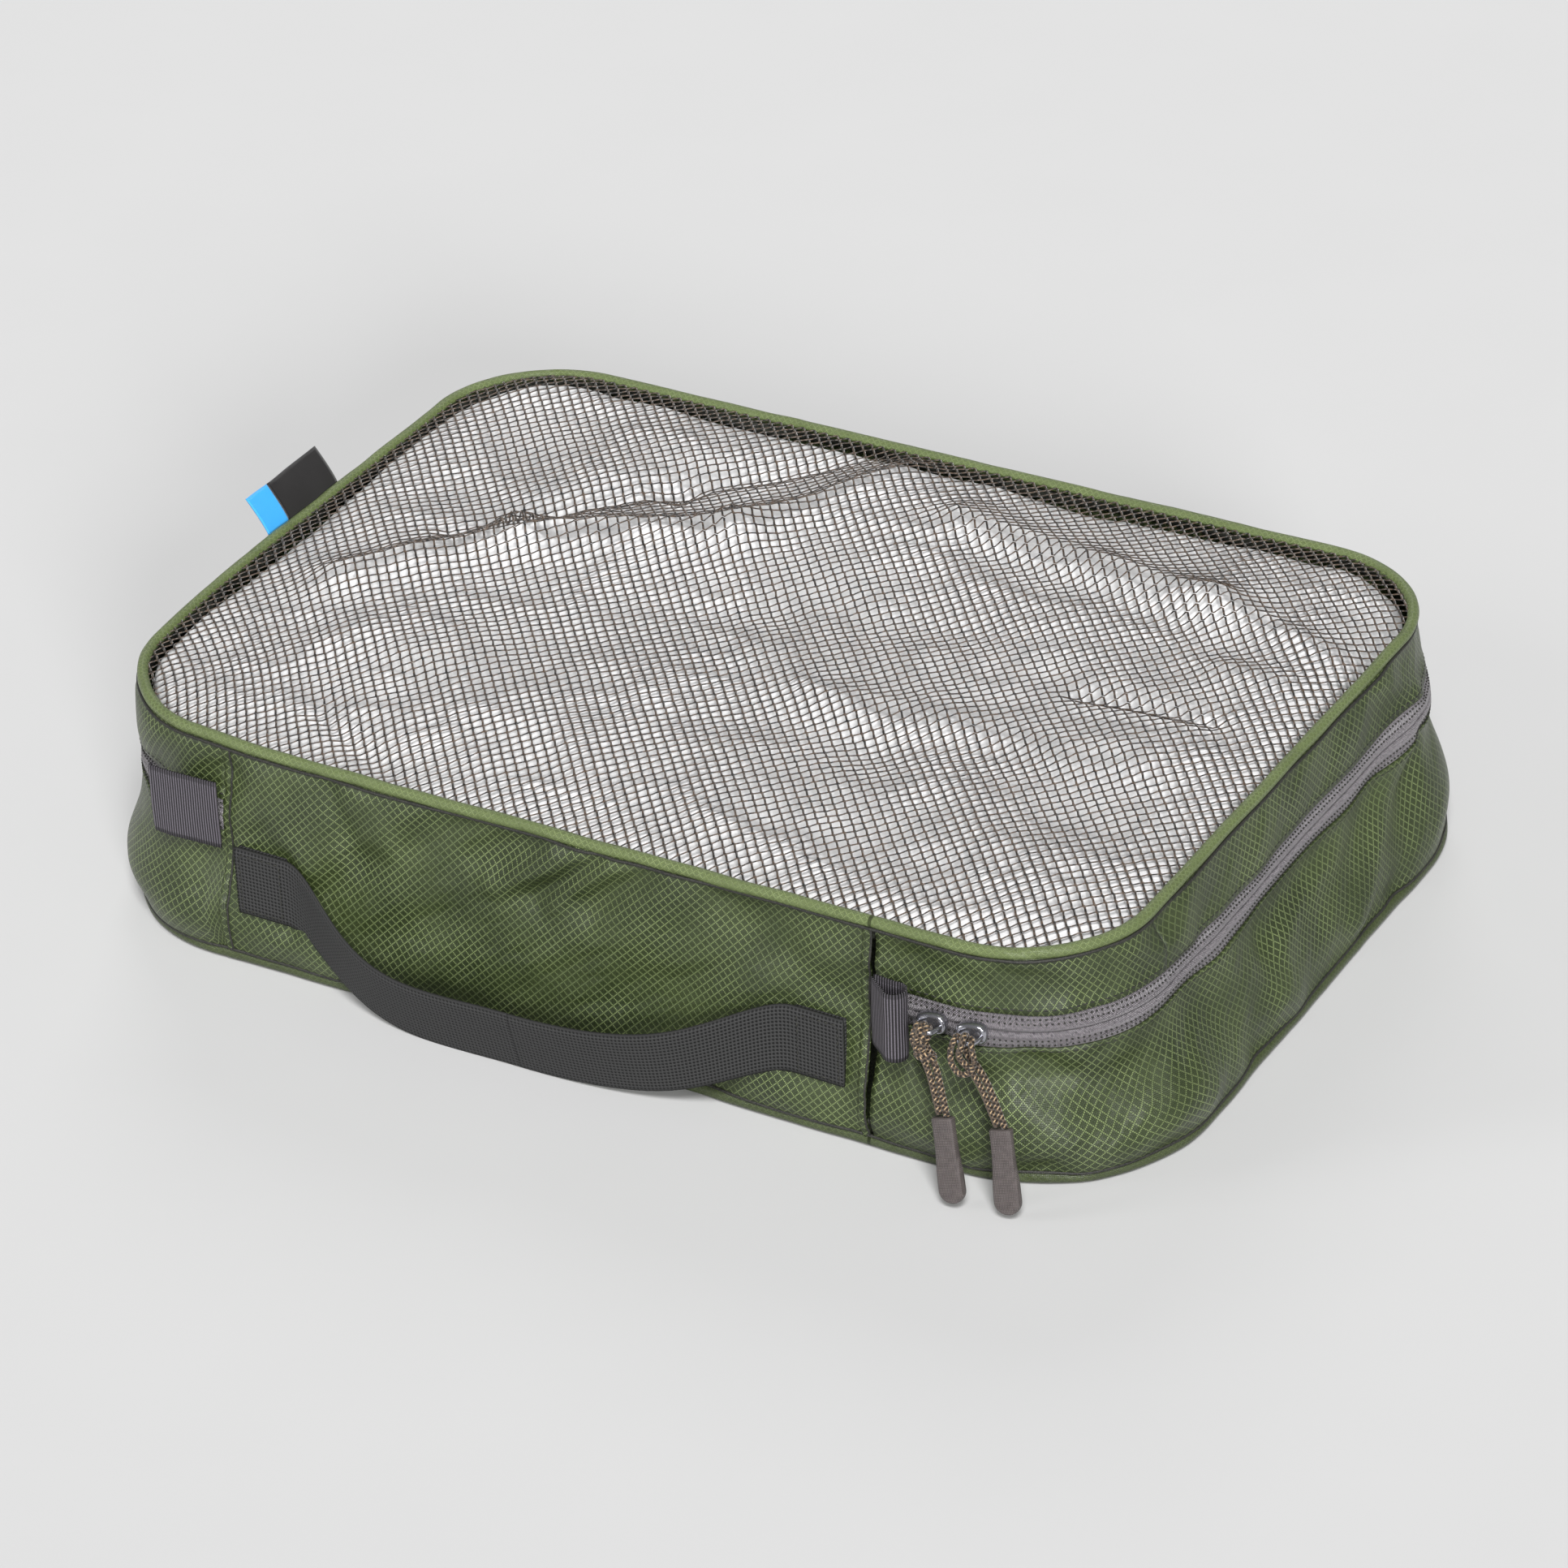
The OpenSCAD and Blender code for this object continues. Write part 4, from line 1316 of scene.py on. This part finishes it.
def slider_body():
    """Rings from the tape outwards: |x/5|^2.6 + |z/h|^2.6 = 1, h narrowing to the tail."""
    sides = 40
    out = np.array([0.7, 0.9, 1.6, 2.6, 3.4, 3.9, 4.15, 4.28, PLATE_FACE])
    size = np.array([0.8, 0.93, 1.0, 1.0, 0.98, 0.92, 0.82, 0.62, 0.3])
    a = 2 * math.pi * np.arange(sides) / sides
    x = 5.2 * np.sign(np.cos(a)) * np.abs(np.cos(a)) ** (2 / 2.6)
    z = 4.0 * np.sign(np.sin(a)) * np.abs(np.sin(a)) ** (2 / 2.6)
    z = z * (0.86 + 0.14 * x / 5.2)
    points = np.stack([size[:, None] * x, np.broadcast_to(-out[:, None], (9, sides)),
                       size[:, None] * z], -1)
    i, j = np.arange(8)[:, None], np.arange(sides)[None, :]
    right = (j + 1) % sides
    face = np.stack([i * sides + j, i * sides + right, (i + 1) * sides + right,
                     (i + 1) * sides + j], -1)
    blocks = [face.reshape(-1, 4), np.arange(sides)[None, ::-1],
              8 * sides + np.arange(sides)[None, :]]
    return points.reshape(-1, 3), blocks, np.zeros((9 * sides, 2))


def bail():
    """Arch |x/4|^2.6 + |y/h|^2.6 = 1 from one end of the body to the other."""
    a = np.linspace(0, math.pi, 30)
    x = 3.9 * np.sign(np.cos(a)) * np.abs(np.cos(a)) ** (2 / 2.6)
    y = -(PLATE_FACE - 0.8) - (BAR_OUT - PLATE_FACE + 0.8) * np.abs(np.sin(a)) ** (2 / 2.6)
    path = np.stack([x, y, np.zeros_like(x)], -1)
    return tube(path, (0, 0, 1), ring_profile(10, 0.62, 0.95), 1.0)


for which in ("left", "right"):
    for name, raw, node in ((f"slider_body_{which}", slider_body(), f"slider_{which}"),
                            (f"slider_bail_{which}", bail(), f"slider_{which}_bail")):
        points, blocks, uv = raw
        obj = build(name, (at_slider(which, points), blocks, uv), f"{which}_slider")
        dress(obj, NICKEL, "slider_metal", node)
for name in ("zip_stop_left", "zip_stop_right"):
    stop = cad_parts[name]
    stop.data.materials.clear()
    stop.data.materials.append(STOP_METAL)

# %% [markdown]
# ## The net's height
# The net is held by the rim and lies on the tissue, so it rises from the welt, rides over
# the tissue's ridges and dips between them. One height function serves both: the tissue
# lies just under the net and falls away from it in its creases.

# %% Height of the net
RIDGES = [
    ((-150, -36), (-109, 17), 9.0, 4.0, 1.3), ((-109, 17), (-45, 52), 9.0, 4.4, 1.3),
    ((-45, 52), (-9, 122), 9.0, 4.0, 1.3), ((-132, 12), (-78, 74), 7.0, -3.6, 1.5),
    ((-78, 74), (-30, 130), 7.0, -3.4, 1.5), ((21, 95), (127, 79), 9.0, 4.2, 1.2),
    ((127, 79), (176, 68), 8.0, 3.4, 1.2), ((30, 84), (120, 64), 9.0, -2.2, 2.0),
    ((34, -27), (148, -22), 12.0, 2.2, 1.6), ((112, 9), (158, 12), 5.0, -3.0, 1.6),
    ((-108, -111), (-62, -134), 6.0, -2.6, 1.6), ((148, 43), (168, 43), 9.0, 3.0, 1.6),
    ((-168, 122), (-156, 128), 12.0, 2.4, 2.0), ((70, -50), (100, -36), 16.0, -2.2, 2.0),
    ((-100, -70), (-20, -50), 18.0, 1.6, 1.6), ((-20, 10), (60, 30), 14.0, -1.4, 2.0),
    ((126, -130), (150, -118), 9.0, 1.8, 1.4), ((-150, -110), (-120, -60), 12.0, 1.6, 1.4),
]


def to_rim(x, y):
    """Distance in to the rim: radius - length(max(q, 0)) - min(max(q), 0), where q is how
    far the point is past the corner centres."""
    half_l, half_w, radius = case_number(RIM_Z)[:3]
    qx, qy = np.abs(x) - (half_l - radius), np.abs(y) - (half_w - radius)
    outside = np.hypot(np.maximum(qx, 0), np.maximum(qy, 0))
    return radius - outside - np.minimum(np.maximum(qx, qy), 0)


def net_height(x, y):
    """Rim height + rise (1 - exp(-d/w)) + ridges; the rise is slower along the back."""
    inward = np.maximum(to_rim(x, y) - 3.0, 0)
    slow = 13 + 8 * eased((y - 60) / 60) + 6 * eased((-x - 130) / 40)
    rise = 3.6 * (1 - np.exp(-inward / slow))
    held = 1 - np.exp(-inward / 14)
    swell = 2.2 * noise(x, y, 46, 71) + 0.7 * noise(x + 0.4 * y, y, 17, 72)
    return RIM_Z + 0.2 + rise + held * (1.25 * folds(x, y, RIDGES) + swell)


# %% [markdown]
# ## The tissue
# A sheet of white tissue, crumpled and laid out under the net. Cloth simulation makes soft
# round folds, but tissue creases sharply, so ridged noise is used: the height 1 - |n| has a
# sharp crest wherever the noise n passes zero.

# %% Tissue sheet
TISSUE_STEP = 1.7
TISSUE_INSET = 5.5
TISSUE_T = 0.25
UNDER_NET = 0.75
RIM_HOLD = 4.0


def crumple(x, y):
    """Depth below the net, 0 at crests: three sizes of |noise|, shallow near the rim."""
    bend_x, bend_y = 7 * noise(x, y, 31, 81), 7 * noise(x, y, 29, 82)
    depth = 7.0 * np.abs(noise(x + bend_x, y + bend_y, 46, 83))
    depth += 3.4 * np.abs(noise(x * 0.9 + y * 0.5, y - x * 0.3, 19, 84))
    depth += 1.1 * np.abs(noise(x - y * 0.4, y, 8, 85))
    return depth * (0.2 + 0.8 * eased((to_rim(x, y) - RIM_HOLD) / 24))


def tissue_grid():
    """Rows across the lid from edge to edge, 5.5 mm inside the rim: clear of any fold that
    comes in there."""
    half_l, half_w, radius = case_number(RIM_Z)[:3]
    inset = TISSUE_INSET
    y = np.linspace(-half_w + inset, half_w - inset, int(2 * half_w / TISSUE_STEP))[None, :]
    over = np.clip(np.abs(y) - (half_w - radius), 0, radius - inset - 0.5)
    reach = half_l - radius + np.sqrt((radius - inset) ** 2 - over**2)
    s = np.linspace(-1, 1, int(2 * half_l / TISSUE_STEP))[:, None]
    return np.broadcast_arrays(reach * s, y)


def tucked(x, y):
    """How far the sheet dives at its edge: 7 exp(-d/w), w being wider along the back and at
    one place on the left and on the right, where the sheet falls short."""
    wide = 1.6 + 2.4 * eased((y - 70) / 50)
    wide = wide + 4 * eased((-x - 120) / 50) * np.exp(-((y + 5) / 40) ** 2)
    wide = wide + 4 * eased((x - 140) / 40) * np.exp(-((y - 88) / 34) ** 2)
    return 7 * np.exp(-np.maximum(to_rim(x, y) - RIM_HOLD, 0) / wide)


tx, ty = tissue_grid()
top = pulled(np.stack([tx, ty, net_height(tx, ty) - UNDER_NET - crumple(tx, ty)
                       - tucked(tx, ty)], -1))
under = top - np.array([0, 0, TISSUE_T])
tissue = build("tissue", shell(top, under, np.stack([tx, ty], -1)), "lid")
dress(tissue, PAPER, "tissue", "tissue_sheet")

# %% [markdown]
# ## The net
# Knitted net is made of yarns that swing from side to side and are knotted to the next yarn
# at each swing. A wireframe of a grid would have hard corners, so every yarn is its own
# thin tube along a wave, and neighbours are mirrored so that the holes become diamonds.

# %% Net yarns
NET_X, NET_Y = 4.6, 2.75
YARN_R = 0.32
NET_POINTS = 6


def net_yarn(row):
    """Wave y = row + 0.5 pitch sin(2 pi x / period), thicker at the knots; every other yarn
    is mirrored. The ends lie inside the welt."""
    half_l, half_w, radius = case_number(RIM_Z)[:3]
    base = row * NET_Y
    over = min(max(abs(base) - (half_w - radius), 0), radius - 1)
    reach = half_l - radius + math.sqrt(radius**2 - over**2) - 3.0
    step = NET_X / NET_POINTS
    x = np.arange(-math.floor(reach / step), math.floor(reach / step) + 1) * step
    swing = np.sin(2 * math.pi * x / NET_X)
    swing = np.sign(swing) * np.abs(swing) ** 1.15
    y = base + (NET_Y / 2) * 0.94 * swing * (1 if row % 2 else -1)
    knot = 1 + 0.25 * swing**4
    wobble = 0.12 * noise(x, np.full_like(x, base), 3.1, 91)
    path = np.stack([x + wobble, y + wobble, net_height(x, y) + 0.12 * swing], -1)
    return tube(pulled(path), (0, 0, 1), ring_profile(4, YARN_R * 1.15, YARN_R * 0.8), knot)


HALF_ROWS = int((rim_high[1] - 3.2) / NET_Y)
rows = np.arange(-HALF_ROWS, HALF_ROWS + 1)
for name, part in zip(("net_front", "net_middle", "net_back"), np.array_split(rows, 3)):
    obj = build(name, joined([net_yarn(int(row)) for row in part]), "lid")
    dress(obj, NET, "net", "net_panel")
    print(name, "faces:", len(obj.data.polygons))

# %% [markdown]
# ## The side label
# A folded strip of woven label is caught in the left rim and stands up and outwards, with
# one end in another colour. It carries no lettering.

# %% Labels
def label(y0, y1, seed):
    """A strip leaning out from the rim: a gentle curve from root to tip."""
    low, high = (np.array(v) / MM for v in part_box("side_label"))
    t = np.linspace(0, 1, 12)[None, :]
    y = np.linspace(y0, y1, 24)[:, None]
    x = high[0] - 0.4 - (high[0] - low[0] - 1.2) * t**1.1 + 0.4 * noise(y, t * 10, 12, seed)
    z = RIM_Z + (high[2] - RIM_Z - 0.3) * t**0.9
    x, y, z = np.broadcast_arrays(x, y, z)
    outer = pulled(np.stack([x, y, z], -1))
    inner = outer + np.array([0.6, 0, 0.45])
    return shell(outer[::-1], inner[::-1], np.stack([y, t * 15 + 0 * y], -1)[::-1])


for node, material, slot in (("side_label", LABEL_DARK, "label_dark"),
                             ("label_end", LABEL_BLUE, "label_blue")):
    low, high = (np.array(v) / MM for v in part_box(node))
    obj = build(f"{node}_ribbon", label(low[1], high[1], 95), "lid")
    dress(obj, material, slot, node)

# %% [markdown]
# ## The bottom
# The bottom panel closes the case inside the base welt. It lies nearly flat on the table,
# with slow swells between.

# %% Bottom panel
def bottom():
    """Rows across from welt to welt: height 0.5 + slow noise, and flat where it meets it."""
    half_l, half_w, radius, lean = case_number(BASE_Z)
    inset = BASE_WELT + 1.2
    y = np.linspace(-half_w + inset, half_w - inset, 80)[None, :]
    over = np.clip(np.abs(y) - (half_w - radius), 0, None)
    reach = half_l - radius + np.sqrt(np.clip((radius - inset) ** 2 - over**2, 0.01, None))
    reach = np.where(over > 0, reach, half_l - inset)
    s = np.linspace(-1, 1, 110)[:, None]
    x = lean + s * reach
    x, y = np.broadcast_arrays(x, y)
    swell = (0.5 + 0.5 * noise(x, y, 40, 99)) * 0.5
    under = np.stack([x, y, 0.15 + swell], -1)
    over_side = under + np.array([0, 0, 1.0])
    return shell(over_side, under, np.stack([x, y], -1))


obj = build("bottom_cloth", bottom(), "base")
dress(obj, BASE_CLOTH, "base_ripstop", "bottom_panel")

# %% [markdown]
# ## Table, light and world
# A pale table without an edge in view, and a dim white sky. Area lamps near by would leave a
# bright pool on the table, so all four lights are far ones: a soft key above the handle side
# that shapes the tissue's ridges, two low ones that glance along the walls' folds, and a weak
# one for the back.

# %% Stage
TABLE_HALF = 6000


def stage():
    """A flat square of pale table, 12 m across, so that its edge is out of view."""
    cuts = 13
    along = np.linspace(-TABLE_HALF, TABLE_HALF, cuts)
    x, y = np.meshgrid(along, along, indexing="ij")
    points = np.stack([x, y, 0 * x], -1).reshape(-1, 3)
    floor = build("table", (points, [quads(cuts, cuts)], points[:, :2]))
    p = Paint("pale_table")
    x, y = p.place()[:2]
    grain = p.mottle(x, y, 60.0, 3.0)
    floor.data.materials.append(p.finish(p.mix(grain, dye(197, 197, 197), dye(199, 199, 199)),
                                         0.8, Specular_IOR_Level=0.1))


def far_lamp(name, way, spread, strength):
    """A sun lamp: light from one direction, as even on the table as a lamp far away. Its
    spread in degrees softens the shadows."""
    data = bpy.data.lights.new(name, "SUN")
    data.angle, data.energy = math.radians(spread), strength
    lamp = bpy.data.objects.new(name, data)
    lamp.matrix_world = Vector(way).to_track_quat("Z", "Y").to_matrix().to_4x4()
    scene.collection.objects.link(lamp)


stage()
world = bpy.data.worlds.new("studio")
world.use_nodes = True
world.node_tree.nodes["Background"].inputs["Color"].default_value = (1.0, 1.0, 1.0, 1)
world.node_tree.nodes["Background"].inputs["Strength"].default_value = 0.2
scene.world = world
far_lamp("key_light", (1.3, -2.2, 3.4), 20, 3.05)
far_lamp("left_light", (-4.8, -3.6, 2.2), 16, 0.6)
far_lamp("corner_light", (3.9, -4.5, 2.0), 14, 2.1)
far_lamp("back_light", (-1.6, 2.8, 2.0), 24, 0.6)
scene.view_settings.view_transform = "Standard"
